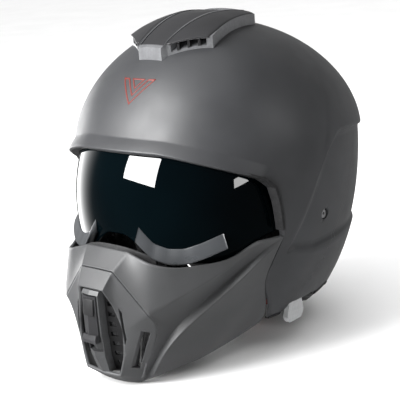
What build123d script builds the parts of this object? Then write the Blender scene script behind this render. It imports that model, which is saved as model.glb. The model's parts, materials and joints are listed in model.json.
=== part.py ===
from build123d import *
import os
from math import cos, radians, sin

# Open-face motorcycle helmet with a drop-down sun visor and a lift-off chin mask.
# Millimetres. +Z is up, the face looks along -Y and the wearer's left is +X.
# z = 0 is the surface that the chin and the nape rest on.

# Driving dimensions of the dome: a superellipsoid with a round front and a long rear
HALF_WIDTH = 124.0
FRONT_LENGTH = 118.2
REAR_LENGTH = 147.8
CROWN_HEIGHT = 108.7
LOWER_DEPTH = 199.7
PLAN_POWER = 2.17
CROWN_POWER = 1.84
LOWER_POWER = 2.1
CENTRE_Y = 10.5
CENTRE_Z = 178.0

# Driving thicknesses and gaps
SHELL_WALL = 4.0
BROW_FLARE = 7.0
LINER_WALL = 31.0
PAD_DEPTH = 8.0
TRIM_DEPTH = 2.4
HUGE = 200.0

# Sun visor: a surface of revolution about the hinge line across the ears
HINGE_Y = 17.3
HINGE_Z = 132.0
VISOR_REACH = 137.0
VISOR_HALF_WIDTH = 108.0
VISOR_POWER = 2.5
LENS_WALL = 2.4
VISOR_TOP_ANGLE = 36.0
LIP_REACH = 7.0
PIN_RADIUS = 5.0
RUNNING_CLEARANCE = 0.06
HUB_RADIUS = 13.0
SCREW_RADIUS = 4.0
SCREW_Z = 120.0
LEVER_SLOT = 46.0
LEVER_MIDDLE_Y = 8.0

# Chin mask
MASK_WALL = 3.2
MASK_DEPTH_CENTRE = (0.0, -35.0)

# Chin strap: one circle under the jaw
STRAP_RADIUS = 100.0
STRAP_AXIS_Z = 121.6
STRAP_WIDTH = 25.0
STRAP_WALL = 2.0
STRAP_MIDDLE_Y = 14.5

# Bowden cable of the visor lever
CABLE_ROUTE = [(84, 29.5, 44), (84.6, 36, 46), (88, 40, 58), (95, 40, 74), (103, 32, 88), (109, 20, 100.6)]
CABLE_BENDS = [7, 12, 14, 16]
CABLE_RADIUS = 1.25

# Height above which outlines drawn in plan are cut from the crown
CROWN_CUT_Z = 220.0


def shrink(distance, reach, power):
    """Scale of a superellipse at a distance from its centre."""
    return (1 - (abs(distance) / reach) ** power) ** (1 / power)


def signed_power(value, power):
    return abs(value) ** power if value > 0 else -(abs(value) ** power)


def egg(height, grow):
    """Horizontal section of the dome, its wall moved outwards by grow."""
    above = height - CENTRE_Z
    if above > 0:
        scale = shrink(above, CROWN_HEIGHT + grow, CROWN_POWER)
    else:
        scale = shrink(above, LOWER_DEPTH, LOWER_POWER)
    points = []
    for step in range(24):
        turn = radians(15 * step)
        length = REAR_LENGTH if sin(turn) > 0 else FRONT_LENGTH
        x = (HALF_WIDTH + grow) * scale * signed_power(cos(turn), 2 / PLAN_POWER)
        y = (length + grow) * scale * signed_power(sin(turn), 2 / PLAN_POWER)
        points.append((x, y + CENTRE_Y))
    with BuildSketch(Plane.XY.offset(height)) as section:
        with BuildLine():
            Spline(*points, periodic=True)
        make_face()
    return section.sketch.face()


def dome(grow):
    """Sections of the dome from below the rest plane to just under the crown."""
    below = [LOWER_DEPTH * sin(radians(t)) ** (2 / LOWER_POWER) for t in (72, 58, 44, 30, 15)]
    above = [sin(radians(t)) ** (2 / CROWN_POWER) for t in (0, 16, 32, 46, 58, 68, 76, 83)]
    heights = [CENTRE_Z - depth for depth in below]
    heights += [CENTRE_Z + (CROWN_HEIGHT + grow) * share for share in above]
    return [egg(height, grow) for height in heights]


def outline(plane, points, mirrored=False):
    """Face inside a closed outline of straight runs, doubled across the vertical if asked."""
    if mirrored:
        points = points + [(-x, y) for x, y in reversed(points) if abs(x) > 1e-6]
    with BuildSketch(plane) as shape:
        with BuildLine():
            Polyline(*points, close=True)
        make_face()
    return shape.sketch


def side_view(points):
    return outline(Plane.YZ, points)


def front_view(points, mirrored=True):
    return outline(Plane.XZ, points, mirrored)


def top_view(points):
    """Plan outline at the height where extrusions for the crown begin."""
    return outline(Plane.XY.offset(CROWN_CUT_Z), points, True)


def visor_profile(reach, half_width):
    """Curve points of the visor's surface, from one hinge point over the nose to the other."""
    points = []
    for step in range(-10, 11):
        x = half_width * sin(radians(9 * step))
        points.append((x, reach * (1 - abs(x / half_width) ** VISOR_POWER) ** (1 / VISOR_POWER)))
    return points


def visor_ring(outer, inner, start):
    """Half section of the visor between two offsets of its surface, at an angle above level."""
    tilt = radians(start)
    plane = Plane((0, HINGE_Y, HINGE_Z), x_dir=(1, 0, 0), z_dir=(0, -sin(tilt), -cos(tilt)))
    with BuildSketch(plane) as ring:
        with BuildLine():
            Spline(*visor_profile(VISOR_REACH + outer, VISOR_HALF_WIDTH + outer))
            Line((VISOR_HALF_WIDTH + outer, 0), (-VISOR_HALF_WIDTH - outer, 0))
        make_face()
        if inner is not None:
            with BuildLine():
                Spline(*visor_profile(VISOR_REACH + inner, VISOR_HALF_WIDTH + inner))
                Line((VISOR_HALF_WIDTH + inner, 0), (-VISOR_HALF_WIDTH - inner, 0))
            make_face(mode=Mode.SUBTRACT)
    return ring.sketch


HINGE_AXIS = Axis((0, HINGE_Y, HINGE_Z), (-1, 0, 0))


def at_hinge(x, y=HINGE_Y, z=HINGE_Z):
    """Plane across the hinge line at a distance from the middle, facing outwards to +X."""
    return Plane((x, y, z), x_dir=(0, 1, 0), z_dir=(1, 0, 0))


# Outlines in side view (y, z) and front view (x, z)
BROW_EDGE = [(-220, 197), (-112, 194.7), (-101, 192.9), (-88.2, 185.8), (-54.5, 169)]
EYE_CORNER = [(-46.5, 161), (-42.5, 147), (-37.5, 122), (-35.5, 113)]
MASK_SEAM = [(-35.5, 113), (-39.5, 98), (-44.1, 79), (-42.9, 71), (-30.9, 46), (-25.5, 31)]
LOWER_EDGE = [(-25.5, 31), (-14.5, 32.5), (12.5, 36.6), (22.5, 35.8), (55.5, 39), (70.5, 30), (82.5, 13)]
LOWER_EDGE += [(88.5, 6), (HUGE, 6)]
BROW_BAND = [(-220, 214), (-107.5, 208), (-84.5, 199), (-38.5, 172), (-30, 160), (-60, 140), (-220, 150)]
MUZZLE = [(0, 102.5), (18, 102), (49.5, 68), (53, 58), (40, 26), (31, 7), (24, -10), (0, -10)]
VENT_MOUTH = [(0, 88), (14, 87), (21, 72), (26, 53), (26, 30), (20, 11), (0, 10)]
EYE_OPENING = BROW_EDGE + EYE_CORNER + MASK_SEAM[1:] + [(-25.5, -40), (-220, -40)]


def shifted(points, dy, dz):
    return [(y + dy, z + dz) for y, z in points]



def visor_room(clearance, start, travel):
    """Solid swept by the visor, grown by a clearance, for cutting its pocket."""
    return revolve(
        profiles=visor_ring(clearance, None, start),
        axis=HINGE_AXIS,
        revolution_arc=travel,
        mode=Mode.PRIVATE,
    )


def polar(reach, angle):
    """Side-view point at a reach and an angle above level, forwards from the hinge."""
    return (HINGE_Y - reach * cos(radians(angle)), HINGE_Z + reach * sin(radians(angle)))


def finish(piece, name):
    """Label a finished piece and write it."""
    piece.part.label = name
    export_step(piece.part, "parts/" + name + ".step")


os.makedirs("parts", exist_ok=True)
VISOR_SWEEP = visor_room(1.2, -30, 104)
SHELL_CORE = dome(0)
SHELL_INSIDE = dome(-SHELL_WALL)

# ---------------------------------------------------------------- shell
with BuildPart() as outer_shell:
    loft(sections=dome(BROW_FLARE))
    extrude(to_extrude=side_view(BROW_BAND), amount=HUGE, both=True, mode=Mode.INTERSECT)
    loft(sections=SHELL_CORE)
    loft(sections=SHELL_INSIDE, mode=Mode.SUBTRACT)
    extrude(to_extrude=side_view(EYE_OPENING), amount=HUGE, both=True, mode=Mode.SUBTRACT)
    below_shell = [(-40, 31 + TRIM_DEPTH)] + shifted(LOWER_EDGE, 0, TRIM_DEPTH) + [(HUGE, -60), (-40, -60)]
    extrude(to_extrude=side_view(below_shell), amount=HUGE, both=True, mode=Mode.SUBTRACT)
    add(VISOR_SWEEP, mode=Mode.SUBTRACT)
    # Blind seats for the side screws and the slot for the visor lever
    for side in (-1, 1):
        with Locations(at_hinge(side * 120, HINGE_Y, SCREW_Z)):
            Cylinder(SCREW_RADIUS + 1.0, 20, mode=Mode.SUBTRACT)
    with Locations((92, LEVER_MIDDLE_Y, 36)):
        Box(26, LEVER_SLOT, 12, mode=Mode.SUBTRACT)
finish(outer_shell, "outer_shell")

# Rubber edging that closes the lower edge of the shell
with BuildPart() as shell_edge_trim:
    loft(sections=dome(0.8))
    loft(sections=dome(-SHELL_WALL - 0.8), mode=Mode.SUBTRACT)
    band = LOWER_EDGE + shifted(LOWER_EDGE, 0, TRIM_DEPTH - 0.1)[::-1]
    extrude(to_extrude=side_view(band), amount=HUGE, both=True, mode=Mode.INTERSECT)
    with Locations((92, LEVER_MIDDLE_Y, 36)):
        Box(30, LEVER_SLOT, 12, mode=Mode.SUBTRACT)
finish(shell_edge_trim, "shell_edge_trim")

# Rubber seal under the brow and down the back edges of the eye opening
with BuildPart() as eyeport_seal:
    loft(sections=dome(4.0))
    loft(sections=dome(-SHELL_WALL + 0.5), mode=Mode.SUBTRACT)
    seal_line = BROW_EDGE[1:] + EYE_CORNER[:-1]
    seal = shifted(seal_line, 0, -0.1) + shifted(seal_line, -1.6, -1.8)[::-1]
    extrude(to_extrude=side_view(seal), amount=HUGE, both=True, mode=Mode.INTERSECT)
    add(visor_room(0.7, -30, 104), mode=Mode.SUBTRACT)
finish(eyeport_seal, "eyeport_seal")

# Emblem: an outlined chevron let flush into the forehead
with BuildPart() as emblem:
    loft(sections=dome(0.5))
    loft(sections=dome(0.03), mode=Mode.SUBTRACT)
    chevron = [(0, 229), (18, 248), (11, 248), (0, 237)]
    extrude(to_extrude=front_view(chevron), amount=HUGE, mode=Mode.INTERSECT)
finish(emblem, "emblem")

# ---------------------------------------------------------------- top vent
VENT_RISE = 9.0
VENT_PLAN = [(0, -59.5), (13, -59.5), (16, -54.5), (47, -31.5), (35, 41.5), (0, 41.5)]
VENT_CHANNEL = [(0, -56.5), (13.4, -56.5), (19, 36), (0, 36)]
VENT_COVER = [(0, -56), (12.4, -56), (17.2, 18), (0, 18)]
VENT_MOUTHS = [(17.5, -60), (45, -38), (33, -20), (20, -38)]

with BuildPart() as top_vent_frame:
    loft(sections=dome(VENT_RISE))
    loft(sections=dome(0.05), mode=Mode.SUBTRACT)
    extrude(to_extrude=top_view(VENT_PLAN), amount=HUGE, mode=Mode.INTERSECT)
    channel = extrude(to_extrude=top_view(VENT_CHANNEL), amount=HUGE, mode=Mode.PRIVATE)
    add(channel - loft(sections=dome(1.2), mode=Mode.PRIVATE), mode=Mode.SUBTRACT)
    mouth_floor = loft(sections=dome(2.0), mode=Mode.PRIVATE)
    mouth_roof = loft(sections=dome(VENT_RISE - 1.6), mode=Mode.PRIVATE)
    for side in (1, -1):
        mouth_plan = outline(Plane.XY.offset(CROWN_CUT_Z), [(side * x, y) for x, y in VENT_MOUTHS])
        mouth = extrude(to_extrude=mouth_plan, amount=HUGE, mode=Mode.PRIVATE)
        add((mouth & mouth_roof) - mouth_floor, mode=Mode.SUBTRACT)
finish(top_vent_frame, "top_vent_frame")

# Cover that slides back along the channel to open the vent
with BuildPart() as top_vent_slider:
    loft(sections=dome(VENT_RISE - 0.5))
    loft(sections=dome(3.6), mode=Mode.SUBTRACT)
    extrude(to_extrude=top_view(VENT_COVER), amount=HUGE, mode=Mode.INTERSECT)
finish(top_vent_slider, "top_vent_slider")

# Three fins in each mouth of the vent
with BuildPart() as top_vent_grille:
    loft(sections=dome(VENT_RISE - 1.8))
    loft(sections=dome(2.1), mode=Mode.SUBTRACT)
    fins = Sketch()
    for side in (1, -1):
        for x, y in ((23, -50), (30, -44.5), (37, -39)):
            fin = [(x, y), (x + 1.6, y + 1.3), (x - 3.4, y + 11.3), (x - 5, y + 10)]
            fins += outline(Plane.XY.offset(CROWN_CUT_Z), [(side * u, v) for u, v in fin])
    extrude(to_extrude=fins, amount=HUGE, mode=Mode.INTERSECT)
    add(top_vent_frame.part, mode=Mode.SUBTRACT)
finish(top_vent_grille, "top_vent_grille")

# ---------------------------------------------------------------- rear exhaust
EXHAUST = [(0, 176), (24, 176), (31, 166), (25, 151), (0, 148)]
EXHAUST_MOUTH = [(0, 171), (19, 171), (24, 165), (20, 156), (0, 154)]
EXHAUST_INSET = [(0, 170.7), (18.8, 170.7), (23.6, 165), (19.8, 156.3), (0, 154.3)]
with BuildPart() as rear_exhaust:
    loft(sections=dome(5.2))
    loft(sections=dome(0.05), mode=Mode.SUBTRACT)
    extrude(to_extrude=front_view(EXHAUST), amount=-HUGE, mode=Mode.INTERSECT)
    extrude(to_extrude=front_view(EXHAUST_MOUTH), amount=-HUGE, mode=Mode.SUBTRACT)
finish(rear_exhaust, "rear_exhaust")

with BuildPart() as rear_exhaust_grille:
    loft(sections=dome(2.0))
    loft(sections=dome(0.05), mode=Mode.SUBTRACT)
    extrude(to_extrude=front_view(EXHAUST_INSET), amount=-HUGE, mode=Mode.INTERSECT)
    slots = Sketch()
    for low in (158.5, 162.7, 166.9):
        slots += outline(Plane.XZ, [(-17, low), (17, low), (17, low + 2), (-17, low + 2)])
    extrude(to_extrude=slots, amount=-HUGE, mode=Mode.SUBTRACT)
finish(rear_exhaust_grille, "rear_exhaust_grille")

# ---------------------------------------------------------------- liner and pads
LINER_INSIDE = -SHELL_WALL - LINER_WALL
MECHANISM_BAY = [(-4, 168), (38, 168), (38, 96), (34, 50), (34, 20), (-24, 20), (-24, 60), (-4, 96)]
LINER_FRONT = [(-220, 201), (-90, 199), (-60, 178), (-36, 160), (-30, 120), (-28, 100), (-32, 60)]
LINER_BELOW = [(-40, 48), (20, 50), (56, 52), (72, 44), (84, 24), (HUGE, 24), (HUGE, -60), (-40, -60)]
with BuildPart() as impact_liner:
    loft(sections=dome(-SHELL_WALL - 0.5))
    loft(sections=dome(LINER_INSIDE), mode=Mode.SUBTRACT)
    liner_front = LINER_FRONT + [(-24, 48), (-24, -40), (-220, -40)]
    extrude(to_extrude=side_view(liner_front), amount=HUGE, both=True, mode=Mode.SUBTRACT)
    extrude(to_extrude=side_view(LINER_BELOW), amount=HUGE, both=True, mode=Mode.SUBTRACT)
    # Pocket in which the visor swings: all that lies outside its inner face
    sector = side_view([(HINGE_Y, HINGE_Z), polar(260, -36), polar(330, 20), polar(260, 74)])
    wedge = extrude(to_extrude=sector, amount=HUGE, both=True, mode=Mode.PRIVATE)
    dish = revolve(
        profiles=visor_ring(-LENS_WALL - 1.4, None, 0),
        axis=HINGE_AXIS,
        revolution_arc=360,
        mode=Mode.PRIVATE,
    )
    add(wedge - dish, mode=Mode.SUBTRACT)
    for side in (1, -1):
        bay = extrude(to_extrude=side_view(MECHANISM_BAY), amount=HUGE * side, mode=Mode.PRIVATE)
        add(Pos(side * 99, 0, 0) * bay, mode=Mode.SUBTRACT)
        # Room for the end of the strap and its anchor
        with Locations((side * 84, STRAP_MIDDLE_Y, 46)):
            Box(40, STRAP_WIDTH + 4, 36, mode=Mode.SUBTRACT)
        with Locations((side * 92, STRAP_MIDDLE_Y, 74)):
            Box(24, STRAP_WIDTH + 4, 38, mode=Mode.SUBTRACT)
    # Room for the lever's track and the groove for its cable, on the left
    with Locations((90, 11, 44)):
        Box(20, 50, 20, mode=Mode.SUBTRACT)
    with BuildLine() as groove_line:
        FilletPolyline(*CABLE_ROUTE, radius=CABLE_BENDS)
    with BuildSketch(Plane(groove_line.line @ 0, z_dir=groove_line.line % 0)) as groove:
        Circle(CABLE_RADIUS + 0.8)
    sweep(sections=groove.sketch, path=groove_line.line, mode=Mode.SUBTRACT)
finish(impact_liner, "impact_liner")

# Comfort pads: plain closed solids of the right size and place
with BuildPart() as crown_pad:
    loft(sections=dome(LINER_INSIDE - 0.3))
    loft(sections=dome(LINER_INSIDE - PAD_DEPTH), mode=Mode.SUBTRACT)
    pad_zone = [(-50, 206), (84, 196), (84, 260), (-50, 260)]
    extrude(to_extrude=side_view(pad_zone), amount=HUGE, both=True, mode=Mode.INTERSECT)
finish(crown_pad, "crown_pad")

CHEEK_SIDE = [(-56, 104), (-30, 112), (-4, 112), (-4, 40), (-14, 24), (-34, 26), (-58, 44), (-66, 76)]
for side, name in ((1, "cheek_pad_left"), (-1, "cheek_pad_right")):
    with BuildPart() as cheek_pad:
        loft(sections=dome(-SHELL_WALL - 5.0))
        extrude(to_extrude=side_view(CHEEK_SIDE), amount=side * 94, mode=Mode.INTERSECT)
        with Locations((0, 0, 70)):
            Box(104, 400, 200, mode=Mode.SUBTRACT)
        add(impact_liner.part, mode=Mode.SUBTRACT)
        loft(sections=dome(LINER_INSIDE + 0.3), mode=Mode.INTERSECT)
    finish(cheek_pad, name)

with BuildPart() as neck_roll:
    loft(sections=dome(-SHELL_WALL - 1.4))
    loft(sections=dome(-SHELL_WALL - 28.0), mode=Mode.SUBTRACT)
    roll_zone = [(44, 33), (54, 20), (67, 0), (120, 0), (120, 23.6)]
    roll_zone += [(84, 23.6), (71, 43), (55, 51), (44, 49.5)]
    extrude(to_extrude=side_view(roll_zone), amount=HUGE, both=True, mode=Mode.INTERSECT)
finish(neck_roll, "neck_roll")

# ---------------------------------------------------------------- visor and its hinge
LENS_EDGE = [(0, 126), (10, 126), (20, 120), (37, 105.5), (57, 103), (72, 101.5), (83, 101.4), (89, 103)]
LENS_EDGE += [(95, 110), (100, 117), (103, 118.6), (130, 118.6), (130, 20), (0, 20)]
LENS_REAR = [(-25, 250), (-25, 150), (8, 143), (HINGE_Y, 145), (40, 145), (60, 250)]
LENS_REAR_LOW = [(-25, 20), (-25, 115), (8, 121), (HINGE_Y, 119), (40, 119), (60, 20)]
LIP_STRIP = [(25, 122), (38, 108), (50, 103.7), (62, 103.7), (74, 108), (86, 114)]
LIP_STRIP += [(86, 119), (74, 113), (62, 108.7), (50, 108.7), (38, 113), (25, 127)]

with BuildPart() as visor_lens:
    revolve(
        profiles=visor_ring(0, -LENS_WALL, -50),
        axis=HINGE_AXIS,
        revolution_arc=50 + VISOR_TOP_ANGLE,
    )
    with Locations((0, HINGE_Y + 60.01, HINGE_Z)):
        Box(400, 120, 400, mode=Mode.SUBTRACT)
    extrude(to_extrude=side_view(LENS_REAR), amount=HUGE, both=True, mode=Mode.SUBTRACT)
    extrude(to_extrude=side_view(LENS_REAR_LOW), amount=HUGE, both=True, mode=Mode.SUBTRACT)
    extrude(to_extrude=front_view(LENS_EDGE), amount=HUGE, mode=Mode.SUBTRACT)
    hub_core = Cylinder(HUB_RADIUS, 2 * HUGE, mode=Mode.PRIVATE)
    hub_core = Pos(0, HINGE_Y, HINGE_Z) * Rot(0, 90, 0) * hub_core
    add(hub_core, mode=Mode.SUBTRACT)
    lip = revolve(
        profiles=visor_ring(LIP_REACH, -0.4, -30),
        axis=HINGE_AXIS,
        revolution_arc=40,
        mode=Mode.PRIVATE,
    )
    for side in (1, -1):
        strip = [(side * x, z) for x, z in LIP_STRIP]
        add(lip & extrude(to_extrude=outline(Plane.XZ, strip), amount=HUGE, mode=Mode.PRIVATE))
finish(visor_lens, "visor_lens")

HUB_INNER = 103.8
HUB_OUTER = 107.9
PLATE_INNER = 108.3
PLATE_OUTER = 111.0
for side, word in ((1, "left"), (-1, "right")):
    # Hub ring that joins the visor's arm to the pin
    with BuildPart() as visor_hub:
        with BuildSketch(at_hinge(side * HUB_INNER)):
            Circle(HUB_RADIUS - 0.02)
            Circle(PIN_RADIUS + RUNNING_CLEARANCE, mode=Mode.SUBTRACT)
        extrude(amount=side * (HUB_OUTER - HUB_INNER))
    finish(visor_hub, "visor_hub_" + word)

    # Fixed plate with the pin that the hub turns on, and two holes for the side screws
    with BuildPart() as pivot_plate:
        with BuildSketch(at_hinge(side * PLATE_INNER, HINGE_Y, HINGE_Z - 6)):
            SlotOverall(50, 28, rotation=90)
        extrude(amount=side * (PLATE_OUTER - PLATE_INNER))
        with BuildSketch(at_hinge(side * (HUB_INNER - 0.5))):
            Circle(PIN_RADIUS)
        extrude(amount=side * (PLATE_INNER - HUB_INNER + 0.6))
        with Locations(at_hinge(side * 111, HINGE_Y, SCREW_Z)):
            Cylinder(1.75, 30, mode=Mode.SUBTRACT)
    finish(pivot_plate, "pivot_plate_" + word)

# Retaining washers on the inner ends of the two pins
with BuildPart() as pin_washers:
    for side in (1, -1):
        with Locations(at_hinge(side * (HUB_INNER - 1.2), HINGE_Y, HINGE_Z)):
            Cylinder(7.5, 1.3)
finish(pin_washers, "pin_washers")

# Side screws, sunk in the shell and threaded into the plates
with BuildPart() as side_screws:
    for side in (1, -1):
        with Locations(at_hinge(side * 113.4, HINGE_Y, SCREW_Z)):
            Cylinder(SCREW_RADIUS, 3.4)
            Cylinder(1.2, 2.4, mode=Mode.SUBTRACT, align=(Align.CENTER, Align.CENTER, Align.MIN))
        with Locations(at_hinge(side * 110.2, HINGE_Y, SCREW_Z)):
            Cylinder(1.7, 3.2)
finish(side_screws, "side_screws")

# ---------------------------------------------------------------- visor lever
with BuildPart() as lever_track:
    with Locations((84.0, LEVER_MIDDLE_Y + 1, 44)):
        Box(3, 40, 8)
        Box(3.2, 36, 3.2, mode=Mode.SUBTRACT)
finish(lever_track, "lever_track")

with BuildPart() as visor_lever:
    # Thumb tab that hangs below the lower edge, on a tongue held in the track
    with BuildSketch(Plane.YZ.offset(87.2)) as tab:
        with BuildLine():
            Polyline((-9, 42), (9, 42), (11, 30), (7, 24), (-10, 24), (-13, 29), close=True)
        make_face()
    extrude(amount=5.0)
    fillet(visor_lever.edges().filter_by(Axis.X), 1.2)
    with Locations((85.0, 0, 44)):
        Box(4.4, 14, 2.6)
    with Locations((87.0, 0, 43)):
        Box(2.0, 14, 4.6)
finish(visor_lever, "visor_lever")

# Bowden cable from the lever's track up to the hinge plate
with BuildPart() as visor_cable:
    with BuildLine() as cable_line:
        FilletPolyline(*CABLE_ROUTE, radius=CABLE_BENDS)
    with BuildSketch(Plane(cable_line.line @ 0, z_dir=cable_line.line % 0)):
        Circle(CABLE_RADIUS)
    sweep(path=cable_line.line)
finish(visor_cable, "visor_cable")
cable_length = sum(edge.length for edge in cable_line.line.edges())
print("visor cable: length", round(cable_length, 1), "bend radii", CABLE_BENDS)

# ---------------------------------------------------------------- chin strap


def strap_arc(start, end, reach, wall, width):
    """Piece of the strap's circle between two angles from straight down, +X positive."""
    plane = Plane(
        (0, STRAP_MIDDLE_Y, STRAP_AXIS_Z),
        x_dir=(sin(radians(start)), 0, -cos(radians(start))),
        z_dir=(cos(radians(start)), 0, sin(radians(start))),
    )
    with BuildSketch(plane) as section:
        with Locations((reach, 0)):
            Rectangle(wall, width)
    axis = Axis((0, 0, STRAP_AXIS_Z), (0, -1, 0))
    return revolve(section.sketch, axis=axis, revolution_arc=end - start, mode=Mode.PRIVATE)


def on_strap(angle, reach):
    """Plane on the strap's circle: x along the strap, y backwards, z towards the chin."""
    turn = radians(angle)
    origin = (reach * sin(turn), STRAP_MIDDLE_Y, STRAP_AXIS_Z - reach * cos(turn))
    return Plane(origin, x_dir=(cos(turn), 0, sin(turn)), z_dir=(-sin(turn), 0, cos(turn)))


with BuildPart() as strap_left:
    add(strap_arc(29, 62, STRAP_RADIUS, STRAP_WALL, STRAP_WIDTH))
finish(strap_left, "strap_left")

with BuildPart() as strap_right:
    add(strap_arc(-62, -8, STRAP_RADIUS, STRAP_WALL, STRAP_WIDTH))
finish(strap_right, "strap_right")

# Steel anchor plates riveted to the shell where the straps end
with BuildPart() as strap_anchors:
    for side in (1, -1):
        with Locations((side * 92.6, STRAP_MIDDLE_Y, 80)):
            Box(2.0, 27, 16)
with BuildPart() as anchor_rivets:
    for side in (1, -1):
        for y in (-8, 8):
            with Locations(at_hinge(side * 96.2, STRAP_MIDDLE_Y + y, 82)):
                Cylinder(2.5, 5.0)
finish(strap_anchors, "strap_anchors")
finish(anchor_rivets, "anchor_rivets")

# Ratchet buckle: channel on the left strap, toothed tongue on the right, sprung lever
BUCKLE_ANGLE = 17.0
BUCKLE_PIN_SHIFT = 11.0
PIN_HOLE_RADIUS = 1.3
pin_plane = on_strap(BUCKLE_ANGLE, STRAP_RADIUS + 4.8)
pin_place = pin_plane.location * Pos(BUCKLE_PIN_SHIFT, 0, 0) * Rot(90, 0, 0)

with BuildPart() as buckle_housing:
    add(strap_arc(8, 27, STRAP_RADIUS - 2.5, 1.6, 27))
    for y in (-12.3, 12.3):
        with BuildSketch(on_strap(BUCKLE_ANGLE, STRAP_RADIUS - 2.4)):
            with Locations((0, y)):
                Rectangle(28, 2.2)
        extrude(amount=-10.0)
    with Locations(pin_place):
        Cylinder(PIN_HOLE_RADIUS, 40, mode=Mode.SUBTRACT)
finish(buckle_housing, "buckle_housing")

with BuildPart() as ratchet_tongue:
    add(strap_arc(-14, 20, STRAP_RADIUS + 2.1, 1.6, 19))
    for tooth in range(8):
        start = 1 + 2.2 * tooth
        add(strap_arc(start, start + 1.1, STRAP_RADIUS + 3.3, 1.0, 15))
finish(ratchet_tongue, "ratchet_tongue")

with BuildPart() as buckle_lever:
    with BuildSketch(on_strap(BUCKLE_ANGLE, STRAP_RADIUS + 5.8)):
        Rectangle(28, 21.4)
    extrude(amount=-1.8)
    with BuildSketch(on_strap(BUCKLE_ANGLE, STRAP_RADIUS + 6.4)):
        with Locations((-16, 0)):
            RectangleRounded(10, 21.4, 2)
    extrude(amount=-2.6)
    with Locations(pin_place):
        Cylinder(2.6, 21.4)
        Cylinder(PIN_HOLE_RADIUS, 40, mode=Mode.SUBTRACT)
finish(buckle_lever, "buckle_lever")

with BuildPart() as buckle_pin:
    with Locations(pin_place):
        Cylinder(PIN_HOLE_RADIUS - RUNNING_CLEARANCE, 26.6)
finish(buckle_pin, "buckle_pin")

# ---------------------------------------------------------------- chin mask
# Half outlines of the mask from its middle to its back edge, by height
MASK_LEVELS = {
    122: [(0, -129), (25, -126.5), (46, -121), (66, -106), (90, -78), (113.5, -32)],
    102: [(0, -146.5), (18, -145), (46, -135.5), (68, -114.5), (89, -84), (108.5, -34)],
    83: [(0, -159), (16, -156.5), (48, -142.5), (72, -100.5), (88, -72.5), (99, -38)],
    67: [(0, -160.5), (20, -154.5), (50, -140.5), (66, -99), (82, -72), (95, -40)],
    48: [(0, -161.5), (22, -152), (46, -135.5), (53, -113.5), (70, -80), (88, -32)],
    28: [(0, -158.5), (22, -149.5), (40, -134.5), (45, -119), (62, -86), (80, -28)],
    12: [(0, -152), (20, -147), (33, -135), (38, -121), (54, -88), (74, -44)],
    -2: [(0, -136), (14, -135), (24, -122), (32, -110), (45, -85), (62, -45)],
}


def mask_level(height, inset):
    """Section of the mask, its wall moved inwards by inset, open behind when inset."""
    middle_x, middle_y = MASK_DEPTH_CENTRE
    half = []
    for x, y in MASK_LEVELS[height]:
        reach = ((x - middle_x) ** 2 + (y - middle_y) ** 2) ** 0.5
        share = 1 - inset / reach
        half.append((middle_x + (x - middle_x) * share, middle_y + (y - middle_y) * share))
    half.append((half[-1][0], 0 if inset == 0 else 20))
    return outline(Plane.XY.offset(height), half, True).face()


MASK_BELOW = [(-220, -20), (-220, 0), (-114.5, 0), (-94.5, 8.5), (-84.5, 14)]
MASK_BELOW += [(-64.5, 19), (-30, 30), (60, 60), (60, -20)]
MASK_TOP = [(0, 117), (24, 116), (44, 109.5), (58, 105), (68, 103), (76, 103), (88, 103), (97, 109.5)]
MASK_TOP += [(103, 113.5), (112, 113.5), (130, 113.5), (130, 200), (0, 200)]
MASK_BACK = shifted(MASK_SEAM, -0.6, 0)

with BuildPart() as mask_body:
    loft(sections=[mask_level(height, 0) for height in sorted(MASK_LEVELS)], ruled=True)
    loft(
        sections=[mask_level(height, MASK_WALL) for height in sorted(MASK_LEVELS)],
        ruled=True,
        mode=Mode.SUBTRACT,
    )
    behind = MASK_BACK + [(-26, -40), (60, -40), (60, 160), (-36, 160)]
    extrude(to_extrude=side_view(behind), amount=HUGE, both=True, mode=Mode.SUBTRACT)
    extrude(to_extrude=side_view(MASK_BELOW), amount=HUGE, both=True, mode=Mode.SUBTRACT)
    extrude(to_extrude=front_view(MASK_TOP), amount=HUGE, mode=Mode.SUBTRACT)
    add(visor_room(1.6, -60, 100), mode=Mode.SUBTRACT)
muzzle_block = extrude(to_extrude=front_view(MUZZLE), amount=HUGE, mode=Mode.PRIVATE)
mouth_block = extrude(to_extrude=front_view(VENT_MOUTH), amount=HUGE, mode=Mode.PRIVATE)

with BuildPart() as mask_shell:
    add(mask_body.part)
    with BuildSketch(Plane.XZ) as seam_cut:
        add(front_view(MUZZLE))
        offset(amount=0.3, kind=Kind.INTERSECTION)
    extrude(to_extrude=seam_cut.sketch, amount=HUGE, mode=Mode.SUBTRACT)
finish(mask_shell, "mask_shell")

# Narrow outlet on each side of the muzzle, later closed by a strip of mesh
SIDE_OUTLET = [(40, 52), (44.5, 50), (36.5, 20), (32.5, 22)]
outlets = outline(Plane.XZ, SIDE_OUTLET) + outline(Plane.XZ, [(-x, z) for x, z in SIDE_OUTLET])

with BuildPart() as mask_muzzle:
    add(mask_body.part & muzzle_block)
    add(mouth_block, mode=Mode.SUBTRACT)
    extrude(to_extrude=outlets, amount=HUGE, mode=Mode.SUBTRACT)
finish(mask_muzzle, "mask_muzzle")

# Spine down the middle of the mouth, with the seat of its slider
SPINE = [(0, 86.6), (9.4, 86.2), (9.2, 40), (6.6, 12), (0, 11.2)]
SLIDER_SEAT = [(0, 83.2), (8.1, 83), (8.1, 33), (0, 33)]
SLIDER = [(0, 82.2), (7.7, 82), (7.7, 42), (0, 42)]
HEIGHTS = sorted(MASK_LEVELS)


def mask_solid(inset):
    """Mask outline as a solid, its wall moved inwards by inset."""
    return loft(sections=[mask_level(height, inset) for height in HEIGHTS], ruled=True, mode=Mode.PRIVATE)


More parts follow.
